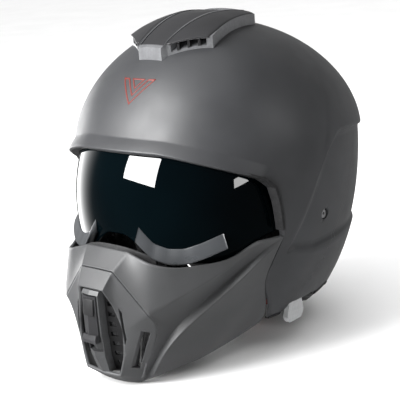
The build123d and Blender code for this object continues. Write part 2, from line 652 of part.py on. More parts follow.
with BuildPart() as mask_spine:
    add(mask_solid(0) - mask_solid(7.6))
    extrude(to_extrude=front_view(SPINE), amount=HUGE, mode=Mode.INTERSECT)
    seat = extrude(to_extrude=front_view(SLIDER_SEAT), amount=HUGE, mode=Mode.PRIVATE)
    add(seat - mask_solid(4.0), mode=Mode.SUBTRACT)
finish(mask_spine, "mask_spine")

with BuildPart() as mask_slider:
    add(mask_solid(-1.2) - mask_solid(3.3))
    extrude(to_extrude=front_view(SLIDER), amount=HUGE, mode=Mode.INTERSECT)
    # Finger ledge along the lower end
    with BuildSketch(Plane.YZ) as ledge:
        with BuildLine():
            Polyline((-160, 42), (-160, 49), (-162.4, 49), (-163.5, 45), (-163.5, 42), close=True)
        make_face()
    extrude(to_extrude=ledge.sketch, amount=7.4, both=True)
finish(mask_slider, "mask_slider")

# Plate of mesh behind the mouth
with BuildPart() as mask_vent_mesh:
    add(mask_solid(7.9) - mask_solid(9.6))
    with BuildSketch(Plane.XZ) as mesh_outline:
        add(front_view(VENT_MOUTH))
        offset(amount=1.5, kind=Kind.INTERSECTION)
    extrude(to_extrude=mesh_outline.sketch, amount=HUGE, mode=Mode.INTERSECT)
    slots = Sketch()
    for row in range(7):
        low = 18 + 9 * row
        for side in (1, -1):
            corners = [(11, low), (17, low), (17, low + 4), (11, low + 4)]
            slots += outline(Plane.XZ, [(side * x, z) for x, z in corners])
    extrude(to_extrude=slots, amount=HUGE, mode=Mode.SUBTRACT)
finish(mask_vent_mesh, "mask_vent_mesh")

# Strip of mesh behind each outlet
with BuildPart() as mask_side_meshes:
    add(mask_solid(3.3) - mask_solid(4.6))
    with BuildSketch(Plane.XZ) as strips:
        add(outlets)
        offset(amount=1.5, kind=Kind.INTERSECTION)
    extrude(to_extrude=strips.sketch, amount=HUGE, mode=Mode.INTERSECT)
    with Locations((0, 0, 36)):
        Box(400, 180, 100, mode=Mode.SUBTRACT)
finish(mask_side_meshes, "mask_side_meshes")

# Foam lining on the inner walls of the mask
LINING = [(-132, 92), (-70, 92), (-58, 44), (-124, 40)]
for side, name in ((1, "mask_lining_left"), (-1, "mask_lining_right")):
    with BuildPart() as mask_lining:
        add(mask_solid(5.4) - mask_solid(11.0))
        extrude(to_extrude=side_view(LINING), amount=side * HUGE, mode=Mode.INTERSECT)
        with Locations((0, 0, 60)):
            Box(64, 400, 200, mode=Mode.SUBTRACT)
        add(visor_room(2.4, -60, 100), mode=Mode.SUBTRACT)
    finish(mask_lining, name)

with BuildPart() as breath_deflector:
    add(mask_solid(3.4) - mask_solid(5.0))
    below_lens = front_view([(0, 114), (26, 112), (38, 104), (34, 93), (0, 90)])
    extrude(to_extrude=below_lens, amount=HUGE, mode=Mode.INTERSECT)
    add(visor_room(2.0, -60, 100), mode=Mode.SUBTRACT)
finish(breath_deflector, "breath_deflector")

# Tabs on the mask's back edge and the catch plates behind the shell's front edge
with BuildPart() as mask_tabs:
    for side in (1, -1):
        with Locations((side * 94.0, -43, 93)):
            Box(3.0, 24, 10)
    add(mask_solid(3.25), mode=Mode.INTERSECT)
finish(mask_tabs, "mask_tabs")

with BuildPart() as mask_catches:
    loft(sections=dome(-SHELL_WALL - 0.05))
    for_catches = Sketch()
    for side in (1, -1):
        near, far = sorted((side * 98.6, side * 110))
        for_catches += outline(Plane.XY, [(near, -34), (far, -34), (far, -30.2), (near, -30.2)])
    extrude(to_extrude=for_catches, amount=90, mode=Mode.INTERSECT)
    with Locations((0, 0, 39)):
        Box(400, 400, 78, mode=Mode.SUBTRACT)
finish(mask_catches, "mask_catches")
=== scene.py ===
import json
import math

import bmesh
import bpy
import numpy as np
from mathutils import Matrix, Vector

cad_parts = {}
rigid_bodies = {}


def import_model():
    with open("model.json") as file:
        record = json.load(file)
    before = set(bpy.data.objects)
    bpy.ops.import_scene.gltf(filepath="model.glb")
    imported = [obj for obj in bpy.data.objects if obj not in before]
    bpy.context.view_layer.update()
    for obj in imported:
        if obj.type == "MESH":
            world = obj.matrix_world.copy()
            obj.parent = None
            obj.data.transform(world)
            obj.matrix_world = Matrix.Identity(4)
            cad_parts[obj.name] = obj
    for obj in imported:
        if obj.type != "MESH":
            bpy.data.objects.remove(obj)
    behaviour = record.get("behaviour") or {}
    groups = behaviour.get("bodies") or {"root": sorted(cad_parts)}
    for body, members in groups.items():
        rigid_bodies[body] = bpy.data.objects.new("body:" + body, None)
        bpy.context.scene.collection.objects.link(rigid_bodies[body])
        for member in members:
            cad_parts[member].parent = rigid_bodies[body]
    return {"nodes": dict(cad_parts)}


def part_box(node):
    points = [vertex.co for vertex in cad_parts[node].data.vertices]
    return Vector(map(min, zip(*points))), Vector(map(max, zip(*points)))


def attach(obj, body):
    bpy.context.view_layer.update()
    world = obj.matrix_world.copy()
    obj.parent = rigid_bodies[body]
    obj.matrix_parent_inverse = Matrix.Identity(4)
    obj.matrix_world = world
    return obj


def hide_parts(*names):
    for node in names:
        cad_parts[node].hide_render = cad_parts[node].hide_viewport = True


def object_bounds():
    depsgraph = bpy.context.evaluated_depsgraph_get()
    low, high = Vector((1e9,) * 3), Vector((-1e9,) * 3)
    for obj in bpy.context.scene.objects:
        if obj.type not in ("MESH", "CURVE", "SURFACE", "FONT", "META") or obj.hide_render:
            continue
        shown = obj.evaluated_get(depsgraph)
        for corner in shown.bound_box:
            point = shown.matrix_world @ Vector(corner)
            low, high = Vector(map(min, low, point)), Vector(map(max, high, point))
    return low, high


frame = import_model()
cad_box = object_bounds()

nodes = frame["nodes"]
MM = 0.001

# ---- materials


def new_material(name):
    material = bpy.data.materials.new(name)
    material.use_nodes = True
    tree = material.node_tree
    shader = tree.nodes["Principled BSDF"]
    where = tree.nodes.new("ShaderNodeTexCoord")
    return material, tree, shader, where.outputs["Object"]


def noise(tree, where, scale, detail=2.0, roughness=0.5, stretch=None):
    node = tree.nodes.new("ShaderNodeTexNoise")
    node.inputs["Scale"].default_value = scale
    node.inputs["Detail"].default_value = detail
    node.inputs["Roughness"].default_value = roughness
    if stretch:
        mapping = tree.nodes.new("ShaderNodeMapping")
        mapping.inputs["Scale"].default_value = stretch
        tree.links.new(where, mapping.inputs["Vector"])
        where = mapping.outputs["Vector"]
    tree.links.new(where, node.inputs["Vector"])
    return node.outputs["Fac"]


# Noise mostly falls between these two values
NOISE_LOW, NOISE_HIGH = 0.3, 0.7


def feed(tree, socket, value):
    """Sets a socket to a number or a colour, or links it to another socket."""
    if isinstance(value, (int, float)):
        socket.default_value = value
    elif isinstance(value, tuple):
        socket.default_value = (*value, 1.0)
    else:
        tree.links.new(value, socket)


def ramp(tree, value, stops, interpolation="LINEAR"):
    node = tree.nodes.new("ShaderNodeValToRGB")
    node.color_ramp.interpolation = interpolation
    while len(node.color_ramp.elements) < len(stops):
        node.color_ramp.elements.new(0.5)
    for element, (place, colour) in zip(node.color_ramp.elements, stops):
        element.position = place
        element.color = (*colour, 1.0)
    tree.links.new(value, node.inputs["Fac"])
    return node.outputs["Color"]


def mapped(tree, value, lowest, highest, low=0.0, high=1.0):
    """Node that takes a value from lowest and highest to low and high."""
    node = tree.nodes.new("ShaderNodeMapRange")
    node.inputs["From Min"].default_value = lowest
    node.inputs["From Max"].default_value = highest
    node.inputs["To Min"].default_value = low
    node.inputs["To Max"].default_value = high
    tree.links.new(value, node.inputs["Value"])
    return node


def spread(tree, value, low, high):
    """A noise between low and high."""
    return mapped(tree, value, NOISE_LOW, NOISE_HIGH, low, high).outputs["Result"]


def shaded(tree, value, dark, light):
    """A noise between two colours."""
    return ramp(tree, value, [(NOISE_LOW, dark), (NOISE_HIGH, light)])


def maths(tree, operation, first, second):
    node = tree.nodes.new("ShaderNodeMath")
    node.operation = operation
    feed(tree, node.inputs[0], first)
    feed(tree, node.inputs[1], second)
    return node.outputs["Value"]


def mixed(tree, factor, first, second, blend="MIX"):
    node = tree.nodes.new("ShaderNodeMix")
    node.data_type = "RGBA"
    node.blend_type = blend
    feed(tree, node.inputs["Factor"], factor)
    feed(tree, node.inputs[6], first)
    feed(tree, node.inputs[7], second)
    return node.outputs[2]


def cells(tree, where, scale, randomness=1.0, feature="F1"):
    """How far each point is from its cell's middle, or from its edge."""
    node = tree.nodes.new("ShaderNodeTexVoronoi")
    node.feature = feature
    node.inputs["Scale"].default_value = scale
    node.inputs["Randomness"].default_value = randomness
    tree.links.new(where, node.inputs["Vector"])
    return node.outputs["Distance"]


def finish(tree, shader, colour, rough, height, strength, depth):
    """Gives the shader its colour, its roughness and a bump from a height."""
    tree.links.new(colour, shader.inputs["Base Color"])
    tree.links.new(rough, shader.inputs["Roughness"])
    node = tree.nodes.new("ShaderNodeBump")
    node.inputs["Strength"].default_value = strength
    node.inputs["Distance"].default_value = depth
    tree.links.new(height, node.inputs["Height"])
    tree.links.new(node.outputs["Normal"], shader.inputs["Normal"])


def times(colour, share):
    return tuple(channel * share for channel in colour)


def edge_wear(tree, where):
    """Bright where an outside edge is sharp, broken up by a little noise."""
    geometry = tree.nodes.new("ShaderNodeNewGeometry")
    edge = mapped(tree, geometry.outputs["Pointiness"], 0.53, 0.62).outputs["Result"]
    return maths(tree, "MULTIPLY", edge, spread(tree, noise(tree, where, 420, 3), 0.35, 1.0))


def lacquer(name, colour, rough, grain, depth, wear, flake=0.0):
    """Matte paint or moulded plastic: cloudy colour, a fine pebbled grain and lighter worn edges."""
    material, tree, shader, where = new_material(name)
    cloudy = shaded(tree, noise(tree, where, 26, 4), times(colour, 0.9), times(colour, 1.1))
    if flake:
        speck = ramp(tree, noise(tree, where, 5200, 1), [(0.6, (0, 0, 0)), (0.75, (flake, flake, flake))])
        cloudy = mixed(tree, 1.0, cloudy, speck, "ADD")
    worn = tuple(min(1.0, channel * 2.2 + 0.02) for channel in colour)
    body = mixed(tree, maths(tree, "MULTIPLY", edge_wear(tree, where), wear), cloudy, worn)
    roughness = spread(tree, noise(tree, where, 60, 5), rough - 0.03, rough + 0.04)
    finish(tree, shader, body, roughness, noise(tree, where, grain, 2), 0.25, depth)
    return material


def metal(name, colour, rough):
    """Brushed or stamped metal with fine lines one way and duller handled patches."""
    material, tree, shader, where = new_material(name)
    lines = noise(tree, where, 1.0, 3, 0.6, (40, 40, 1500))
    body = shaded(tree, lines, times(colour, 0.8), colour)
    roughness = spread(tree, noise(tree, where, 140, 4), rough - 0.06, rough + 0.09)
    shader.inputs["Metallic"].default_value = 1.0
    finish(tree, shader, body, roughness, lines, 0.2, 0.00006)
    return material


def tinted_lens(name):
    """Nearly black smoke polycarbonate with a deep teal body colour and a hard glossy coat."""
    material, tree, shader, where = new_material(name)
    tint = shaded(tree, noise(tree, where, 9, 2), (0.0001, 0.0004, 0.0006), (0.0002, 0.0008, 0.0011))
    roughness = spread(tree, noise(tree, where, 900, 4), 0.012, 0.03)
    shader.inputs["Specular IOR Level"].default_value = 0.1
    finish(tree, shader, tint, roughness, noise(tree, where, 30, 2), 0.015, 0.0004)
    return material


def rubber(name):
    material, tree, shader, where = new_material(name)
    body = shaded(tree, noise(tree, where, 300, 4), (0.008, 0.008, 0.009), (0.018, 0.018, 0.019))
    roughness = spread(tree, noise(tree, where, 500, 3), 0.55, 0.75)
    finish(tree, shader, body, roughness, noise(tree, where, 1800, 2), 0.35, 0.0002)
    return material


def beads(name):
    """Black expanded bead foam: packed cells about three millimetres across with dark lines between."""
    material, tree, shader, where = new_material(name)
    bead = cells(tree, where, 330)
    body = ramp(tree, bead, [(0.1, (0.045, 0.045, 0.047)), (0.75, (0.012, 0.012, 0.013))])
    roughness = spread(tree, noise(tree, where, 200, 3), 0.7, 0.9)
    finish(tree, shader, body, roughness, maths(tree, "SUBTRACT", 1.0, bead), 0.6, 0.0006)
    return material


def knit(name, colour, pitch):
    """Brushed spacer knit: small offset cells, each with a soft hollow, under a sheen of loose fibre."""
    material, tree, shader, where = new_material(name)
    loop = cells(tree, where, 1 / pitch, 0.25)
    fibre = noise(tree, where, 4200, 3, 0.7)
    holes = ramp(tree, loop, [(0.12, times(colour, 0.45)), (0.42, colour)])
    body = mixed(tree, spread(tree, fibre, 0.0, 0.35), holes, times(colour, 1.7))
    shader.inputs["Sheen Weight"].default_value = 0.35
    shader.inputs["Sheen Roughness"].default_value = 0.5
    height = maths(tree, "ADD", loop, maths(tree, "MULTIPLY", fibre, 0.4))
    finish(tree, shader, body, spread(tree, fibre, 0.8, 0.98), height, 0.6, 0.0006)
    return material


def leatherette(name):
    """Coated cloth with a fine grain of small dark creases."""
    material, tree, shader, where = new_material(name)
    grain = cells(tree, where, 700, feature="DISTANCE_TO_EDGE")
    body = ramp(tree, grain, [(0.0, (0.006, 0.006, 0.007)), (0.12, (0.022, 0.022, 0.024))])
    roughness = spread(tree, noise(tree, where, 260, 4), 0.42, 0.6)
    finish(tree, shader, body, roughness, grain, 0.5, 0.0005)
    return material


def webbing(name):
    """Woven strap: a twill of two crossing waves."""
    material, tree, shader, where = new_material(name)
    waves = []
    for turn in (0.7, -0.7):
        mapping = tree.nodes.new("ShaderNodeMapping")
        mapping.inputs["Rotation"].default_value = (turn, 0.3, turn)
        tree.links.new(where, mapping.inputs["Vector"])
        wave = tree.nodes.new("ShaderNodeTexWave")
        wave.inputs["Scale"].default_value = 260
        wave.inputs["Distortion"].default_value = 0.6
        tree.links.new(mapping.outputs["Vector"], wave.inputs["Vector"])
        waves.append(wave.outputs["Fac"])
    weave = maths(tree, "MULTIPLY", *waves)
    body = ramp(tree, weave, [(0.05, (0.008, 0.008, 0.009)), (0.6, (0.035, 0.035, 0.038))])
    roughness = spread(tree, noise(tree, where, 2000, 3), 0.65, 0.85)
    shader.inputs["Sheen Weight"].default_value = 0.25
    finish(tree, shader, body, roughness, weave, 0.6, 0.0005)
    return material


def mesh_plastic(name):
    """Dark open gauze pressed from plastic: round holes a millimetre and a half apart."""
    material, tree, shader, where = new_material(name)
    hole = cells(tree, where, 620, 0.0)
    body = ramp(tree, hole, [(0.32, (0.002, 0.002, 0.002)), (0.42, (0.03, 0.03, 0.032))])
    roughness = spread(tree, noise(tree, where, 300, 3), 0.45, 0.6)
    finish(tree, shader, body, roughness, hole, 0.8, 0.0006)
    return material


SHELL = lacquer("matte_anthracite_paint", (0.037, 0.038, 0.041), 0.42, 3000, 0.0001, 0.35, flake=0.012)
MASK = lacquer("matte_anthracite_plastic", (0.050, 0.051, 0.053), 0.45, 2200, 0.00014, 0.45)
BLACK = lacquer("black_moulded_plastic", (0.012, 0.012, 0.013), 0.5, 1500, 0.00022, 0.25)
DARK_SATIN = lacquer("dark_satin_plastic", (0.020, 0.020, 0.022), 0.45, 2600, 0.0001, 0.4)
BEZEL = lacquer("satin_grey_plastic", (0.105, 0.107, 0.112), 0.38, 2800, 0.0001, 0.5)
LENS = tinted_lens("smoke_polycarbonate")
RUBBER = rubber("soft_black_rubber")
FOAM = beads("black_bead_foam")
KNIT = knit("charcoal_knit", (0.045, 0.046, 0.050), 0.0021)
SUEDE = knit("dark_brushed_lining", (0.028, 0.028, 0.031), 0.0013)
LEATHER = leatherette("black_leatherette")
WEB = webbing("black_webbing")
GAUZE = mesh_plastic("dark_gauze")
STEEL = metal("stamped_steel", (0.62, 0.62, 0.63), 0.27)
SILVER = lacquer("satin_silver", (0.34, 0.345, 0.35), 0.4, 2400, 0.00008, 0.3)
RED = lacquer("red_moulded_plastic", (0.15, 0.008, 0.006), 0.35, 1700, 0.0002, 0.2)
EMBLEM = lacquer("red_orange_print", (0.17, 0.018, 0.011), 0.4, 2600, 0.00005, 0.0)
# The finger ledges are moulded in the lens's smoke plastic: their satin roughness is their own, but their
# pale grey base colour is mostly a painted reflection of light from above
LEDGE_PAINTED_REFLECTION = lacquer("smoke_ledge_painted_reflection", (0.045, 0.048, 0.052), 0.3, 3000, 0.00005, 0.3)

LOOKS = {
    "outer_shell": SHELL, "shell_edge_trim": RUBBER, "eyeport_seal": RUBBER, "emblem": EMBLEM,
    "top_vent_frame": BEZEL, "top_vent_grille": BLACK, "top_vent_slider": DARK_SATIN,
    "rear_exhaust": MASK, "rear_exhaust_grille": GAUZE, "impact_liner": FOAM, "crown_pad": KNIT,
    "cheek_pad_left": KNIT, "cheek_pad_right": KNIT, "neck_roll": LEATHER, "visor_lens": LENS,
    "visor_hub_left": BLACK, "visor_hub_right": BLACK, "pivot_plate_left": BLACK, "pivot_plate_right": BLACK,
    "pin_washers": STEEL, "side_screws": STEEL, "lever_track": BLACK, "visor_lever": SILVER,
    "visor_cable": RUBBER, "strap_left": WEB, "strap_right": WEB, "strap_anchors": STEEL,
    "anchor_rivets": STEEL, "buckle_housing": STEEL, "ratchet_tongue": BLACK, "buckle_lever": RED,
    "buckle_pin": STEEL, "mask_shell": MASK, "mask_muzzle": MASK, "mask_spine": MASK,
    "mask_slider": DARK_SATIN, "mask_vent_mesh": BLACK, "mask_side_meshes": GAUZE,
    "mask_lining_left": FOAM, "mask_lining_right": FOAM, "breath_deflector": RUBBER, "mask_tabs": BLACK,
    "mask_catches": STEEL,
}
for node_name, look in LOOKS.items():
    for place in nodes[node_name].material_slots:
        place.material = look

# ---- outer shell

HALF_WIDTH, FRONT, REAR, CROWN, BELOW = 124.0, 118.2, 147.8, 108.7, 199.7
PLAN_POWER, CROWN_POWER, LOWER_POWER = 2.17, 1.84, 2.1
DOME_CENTRE = np.array([0.0, 10.5, 178.0])


def unit(vectors):
    return vectors / np.linalg.norm(vectors, axis=-1, keepdims=True)


def dome_value(p):
    """1 on the dome's surface, for points in millimetres about its centre."""
    length = np.where(p[..., 1] > 0, REAR, FRONT)
    height = np.where(p[..., 2] > 0, CROWN, BELOW)
    power = np.where(p[..., 2] > 0, CROWN_POWER, LOWER_POWER)
    plan = (np.abs(p[..., 0]) / HALF_WIDTH) ** PLAN_POWER + (np.abs(p[..., 1]) / length) ** PLAN_POWER
    return plan ** (power / PLAN_POWER) + (np.abs(p[..., 2]) / height) ** power


def on_dome(directions):
    power = np.where(directions[..., 2] > 0, CROWN_POWER, LOWER_POWER)
    return directions * (dome_value(directions) ** (-1 / power))[..., None]


def dome_normal(p):
    steps = np.eye(3) * 0.5
    slope = np.stack([dome_value(p + step) - dome_value(p - step) for step in steps], -1)
    return unit(slope)


def half_width_at(y, z):
    height = np.where(z > 0, CROWN, BELOW)
    power = np.where(z > 0, CROWN_POWER, LOWER_POWER)
    level = np.clip(1 - (np.abs(z) / height) ** power, 0, 1) ** (1 / power)
    length = np.where(y > 0, REAR, FRONT)
    rest = 1 - (np.abs(y) / (length * np.maximum(level, 1e-6))) ** PLAN_POWER
    return HALF_WIDTH * level * np.clip(rest, 0, 1) ** (1 / PLAN_POWER), rest


def distances(points):
    """How far along a line each of its points is."""
    return np.concatenate([[0], np.cumsum(np.linalg.norm(np.diff(points, axis=0), axis=1))])


def resampled(points, step):
    points = np.asarray(points, float)
    lengths = distances(points)
    count = max(2, int(round(lengths[-1] / step)) + 1)
    at = np.linspace(0, lengths[-1], count)
    return np.stack([np.interp(at, lengths, column) for column in points.T], 1)


def rounded(points, step, width):
    """Finely sampled polyline with its corners rounded over about width."""
    fine = resampled(points, step)
    reach = max(1, int(width / step / 2))
    padded = np.concatenate([
        2 * fine[0] - fine[reach:0:-1], fine, 2 * fine[-1] - fine[-2:-reach - 2:-1]])
    kernel = np.ones(2 * reach + 1) / (2 * reach + 1)
    return np.stack([np.convolve(column, kernel, "valid") for column in padded.T], 1)


def added(name, data):
    """New object in the scene."""
    thing = bpy.data.objects.new(name, data)
    bpy.context.collection.objects.link(thing)
    return thing


def mesh_of(name, points, faces):
    """New mesh from points in millimetres."""
    mesh = bpy.data.meshes.new(name)
    mesh.from_pydata([tuple(float(v) * MM for v in p) for p in points], [], faces)
    return mesh


def build(name, points, faces, material, body, replaced=()):
    """Smooth piece from points in millimetres, on its body, in place of the CAD nodes it replaces."""
    mesh = mesh_of(name, points, faces)
    mesh.validate()
    mesh.polygons.foreach_set("use_smooth", [True] * len(mesh.polygons))
    mesh.materials.append(material)
    piece = added(name, mesh)
    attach(piece, body)
    if replaced:
        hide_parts(*replaced)
    return piece


def grid_faces(rows, columns, wrap=False, flip=False):
    faces = []
    for r in range(rows - 1):
        for c in range(columns if wrap else columns - 1):
            d = (c + 1) % columns
            face = (r * columns + c, r * columns + d, (r + 1) * columns + d, (r + 1) * columns + c)
            faces.append(face[::-1] if flip else face)
    return faces


def tube_faces(rings, around, flip=False):
    """Faces of a tube of rings with both ends closed."""
    faces = grid_faces(rings, around, wrap=True, flip=flip)
    last = (rings - 1) * around
    return faces + [tuple(range(around)), tuple(range(last + around - 1, last - 1, -1))]


def applied(piece):
    """Bakes the piece's modifiers into its mesh."""
    graph = bpy.context.evaluated_depsgraph_get()
    baked = bpy.data.meshes.new_from_object(piece.evaluated_get(graph))
    piece.modifiers.clear()
    piece.data = baked


def subdivided(piece, levels):
    divide = piece.modifiers.new("divide", "SUBSURF")
    divide.levels = divide.render_levels = levels


def thickened(piece, thickness, offset):
    """Gives a surface a wall of a thickness in millimetres."""
    wall = piece.modifiers.new("wall", "SOLIDIFY")
    wall.thickness = thickness * MM
    wall.offset = offset


def vertex_values(data, what="co"):
    """Places or normals of a mesh's vertices, a row each."""
    values = np.empty(len(data.vertices) * 3)
    data.vertices.foreach_get(what, values)
    return values.reshape(-1, 3)


def cut_with(piece, points, faces):
    """Takes a closed cutter, given in millimetres, away from the piece."""
    cutter = added("cutter", mesh_of("cutter", points, faces))
    modifier = piece.modifiers.new("cut", "BOOLEAN")
    modifier.object = cutter
    modifier.operation = "DIFFERENCE"
    modifier.solver = "EXACT"
    bpy.context.view_layer.update()
    applied(piece)
    bpy.data.objects.remove(cutter)


def circle(u, v, radius, sides):
    turns = [i * math.tau / sides for i in range(sides)]
    return [(u + radius * math.cos(turn), v + radius * math.sin(turn)) for turn in turns]


def prism(outline, axis, start, end):
    """Closed prism on an outline of two coordinates, extruded along the axis between start and end."""
    points = []
    for depth in (start, end):
        for u, v in outline:
            point = [u, v]
            point.insert(axis, depth)
            points.append(point)
    n = len(outline)
    faces = [tuple(range(n)), tuple(range(2 * n - 1, n - 1, -1))]
    faces += [(i, i + n, (i + 1) % n + n, (i + 1) % n) for i in range(n)]
    mesh = bmesh.new()
    vertices = [mesh.verts.new(p) for p in points]
    for face in faces:
        mesh.faces.new([vertices[i] for i in face])
    bmesh.ops.recalc_face_normals(mesh, faces=mesh.faces)
    mesh.verts.index_update()
    faces = [tuple(v.index for v in face.verts) for face in mesh.faces]
    mesh.free()
    return points, faces


# Edge of the shell seen from the side (y, z), with how far its lip stands out there and how wide the lip is
FRONT_EDGE = [
    (-112, 195.5, 6.5, 10), (-101, 193.6, 6.5, 10), (-88.2, 186.5, 6.0, 10), (-54.5, 169.6, 3.8, 10),
    (-46.5, 161.4, 1.0, 10), (-42.5, 147, -2.4, 8), (-37.5, 122, -2.6, 7.5), (-35.5, 113, -1.6, 5)]
# The rest of it (y, z) has one lip all along
LOWER_EDGE = [
    (-39.5, 98), (-44.1, 79), (-42.9, 71), (-30.9, 46), (-25.5, 31), (-14.5, 32.5), (12.5, 36.6),
    (22.5, 35.8), (55.5, 39), (70.5, 30), (82.5, 13), (88.5, 6), (200, 6)]
LOWER_LIP = (-0.8, 2.5)
# The left side has a cut-out for the visor lever
CUT_OUT = [(-16.5, 32.3), (-15.2, 38.5), (-12, 40.8), (27, 41.2), (30.6, 39), (32, 36.6)]
COLUMNS = 200


def half_rim(lower_edge):
    """One side's edge on the dome, from the brow to the nape, evenly spaced."""
    edge = rounded(FRONT_EDGE + [(y, z, *LOWER_LIP) for y, z in lower_edge], 0.05, 3.0)
    edge_y, edge_z = edge[:, 0] - DOME_CENTRE[1], edge[:, 1] - DOME_CENTRE[2]
    edge_x, inside = half_width_at(edge_y, edge_z)
    loop = np.stack([edge_x, edge_y, edge_z, edge[:, 2], edge[:, 3]], 1)[inside > 0]
    loop[0, 0] = loop[-1, 0] = 0
    lengths = distances(loop[:, :3])
    at = np.linspace(0, lengths[-1], COLUMNS + 1)
    return np.stack([np.interp(at, lengths, column) for column in loop.T], 1)


left_half = half_rim(LOWER_EDGE[:5] + CUT_OUT + LOWER_EDGE[8:])
right_half = half_rim(LOWER_EDGE)[-2:0:-1] * np.array([-1, 1, 1, 1, 1])
rim_loop = np.concatenate([left_half, right_half])
count = len(rim_loop)

# Each column of the shell's surface is an arc from the pole to the rim
pole = unit(np.array([0, 0.5, 0.866]))
ends = unit(rim_loop[:, :3])
angles = np.arccos(np.clip(ends @ pole, -1, 1))
steps = np.linspace(0, 1, 401)
arcs = (np.sin((1 - steps)[:, None] * angles)[..., None] * pole
        + np.sin(steps[:, None] * angles)[..., None] * ends) / np.sin(angles)[None, :, None]
arcs = on_dome(arcs)
arc_steps = np.linalg.norm(np.diff(arcs, axis=0), axis=2)
run = np.concatenate([np.zeros((1, count)), np.cumsum(arc_steps, axis=0)])
from_rim = run[-1] - run

# Two creases round the back: (y, z) about the dome's centre
UPPER_CREASE = [
    (-60, -90), (-30, -50), (-13, -26), (5, -3.4), (22, 8.5), (30, 10), (60, 8), (85, 4.5), (200, 2)]
LOWER_CREASE = [(-70, -190), (-54, -110), (-47, -93), (-39, -81), (-33, -79), (-7, -84), (200, -84)]


def crossing(crease):
    """For each column, how far from the rim it meets the crease and the y where it does."""
    ys, zs = zip(*crease)
    places, where_y = np.full(count, np.nan), np.full(count, -200.0)
    for c in range(count):
        over = arcs[:, c, 2] - np.interp(arcs[:, c, 1], ys, zs)
        under = np.nonzero((over[:-1] > 0) & (over[1:] <= 0))[0]
        if len(under):
            i = under[-1]
            share = over[i] / (over[i] - over[i + 1])
            places[c] = from_rim[i, c] + share * (from_rim[i + 1, c] - from_rim[i, c])
            where_y[c] = arcs[i, c, 1]
    known = np.nonzero(~np.isnan(places))[0]
    places = np.interp(np.arange(count), known, places[known], period=count)
    return places, where_y


def ease(value, start, end):
    share = np.clip((value - start) / (end - start), 0, 1)
    return share * share * (3 - 2 * share)


lower_place, lower_y = crossing(LOWER_CREASE)
upper_place, upper_y = crossing(UPPER_CREASE)
lower_place = np.clip(lower_place, 32, run[-1] - 60)
upper_place = np.clip(upper_place, lower_place + 18, run[-1] - 25)
upper_depth = 3.0 * ease(upper_y, -12, 14)
lower_depth = 2.6 * ease(lower_y, -56, -34)

knots = np.stack([run[-1], upper_place + 1.0, upper_place - 1.0, lower_place + 1.6, lower_place - 1.6,
                  np.full(count, 24.0), rim_loop[:, 4] + 1.2, rim_loop[:, 4] - 1.2,
                  np.full(count, 0.9), np.zeros(count)])
rings_between = [44, 4, 22, 4, 6, 4, 4, 5, 2]
places = [knots[0]]
for k, rings in enumerate(rings_between):
    for r in range(1, rings + 1):
        places.append(knots[k] + (knots[k + 1] - knots[k]) * r / rings)
places = np.array(places)


def surface_points(places):
    """Points of the plain dome in every column, at distances from the rim."""
    out = np.empty((len(places), count, 3))
    for c in range(count):
        for axis in range(3):
            out[:, c, axis] = np.interp(-places[:, c], -from_rim[:, c], arcs[:, c, axis])
    return on_dome(unit(out))


def lift(places):
    """How far the surface stands out from the plain dome at each distance from the rim."""
    lip, width = rim_loop[:, 3], rim_loop[:, 4]
    toward = 1 - places / width
    soft = 0.06
    flare = lip * 0.5 * (toward + np.sqrt(toward * toward + soft * soft))
    below_upper = np.clip(0.5 - (places - upper_place) / 2.0, 0, 1)
    above_lower = np.clip(0.5 + (places - lower_place) / 3.2, 0, 1)
    share = np.clip((upper_place - places) / (upper_place - lower_place), 0, 1)
    inset = below_upper * above_lower * (upper_depth * (1 - share) + lower_depth * share)
    return flare - inset


plain = surface_points(places)
normals = dome_normal(plain)
outer = plain + normals * lift(places)[..., None]
tangent = unit(outer[-1] - outer[-3])
rim_normal = unit(normals[-1] - (normals[-1] * tangent).sum(1)[:, None] * tangent)
RIM_RADIUS, RIM_WALL, SHELL_WALL = 1.3, 3.4, 4.0


def rim_row(turn_deg, inner):
    """Row of the rolled rim, turned over from the outer face or, for an inner one, from the inner face."""
    a = math.radians(turn_deg)
    drop = RIM_RADIUS * (1 - math.cos(a))
    if inner:
        drop = RIM_WALL - drop
    return (outer[-1] + tangent * RIM_RADIUS * math.sin(a) - rim_normal * drop)[None]


layers = [outer[1:]]
layers += [rim_row(turn_deg, False) for turn_deg in (25, 50, 75, 90)]
layers += [rim_row(turn_deg, True) for turn_deg in (90, 60, 30)]
# Rows of the inner face: some at set distances from the rim, the rest at shares of the way to the pole
near_rim = [np.full(count, distance) for distance in (0, 4, 9, 14, 20)]
farther = [run[-1] * share for share in (0.25, 0.4, 0.55, 0.7, 0.85, 0.97)]
inner_places = np.stack(near_rim + farther)
inner_places[5:] = np.maximum(inner_places[5:], 25 + np.arange(6)[:, None] * 3)
inner_plain = surface_points(inner_places)
inner_lift = np.maximum(rim_loop[:, 3], 0) * 0.45 * np.clip(1 - inner_places / 16, 0, 1) - SHELL_WALL
layers.append(inner_plain + dome_normal(inner_plain) * inner_lift[..., None])
stack = np.concatenate(layers)
top_point = outer[0, 0] + DOME_CENTRE
under_point = top_point - dome_normal(outer[0, 0]) * SHELL_WALL
shell_points = np.concatenate([stack.reshape(-1, 3) + DOME_CENTRE, [top_point], [under_point]])
shell_faces = grid_faces(len(stack), count, wrap=True, flip=True)
shell_faces += [(len(shell_points) - 2, c, (c + 1) % count) for c in range(count)]
last = (len(stack) - 1) * count
shell_faces += [(len(shell_points) - 1, last + (c + 1) % count, last + c) for c in range(count)]
shell = build("shell_skin", shell_points, shell_faces, SHELL, "helmet", ["outer_shell"])

SCREW_Y, SCREW_Z, SEAT_RADIUS = 17.3, 120, 5
for side in (1, -1):
    cut_with(shell, *prism(circle(SCREW_Y, SCREW_Z, SEAT_RADIUS, 40), 0, side * 108, side * 130))

# ---- crown vent and emblem


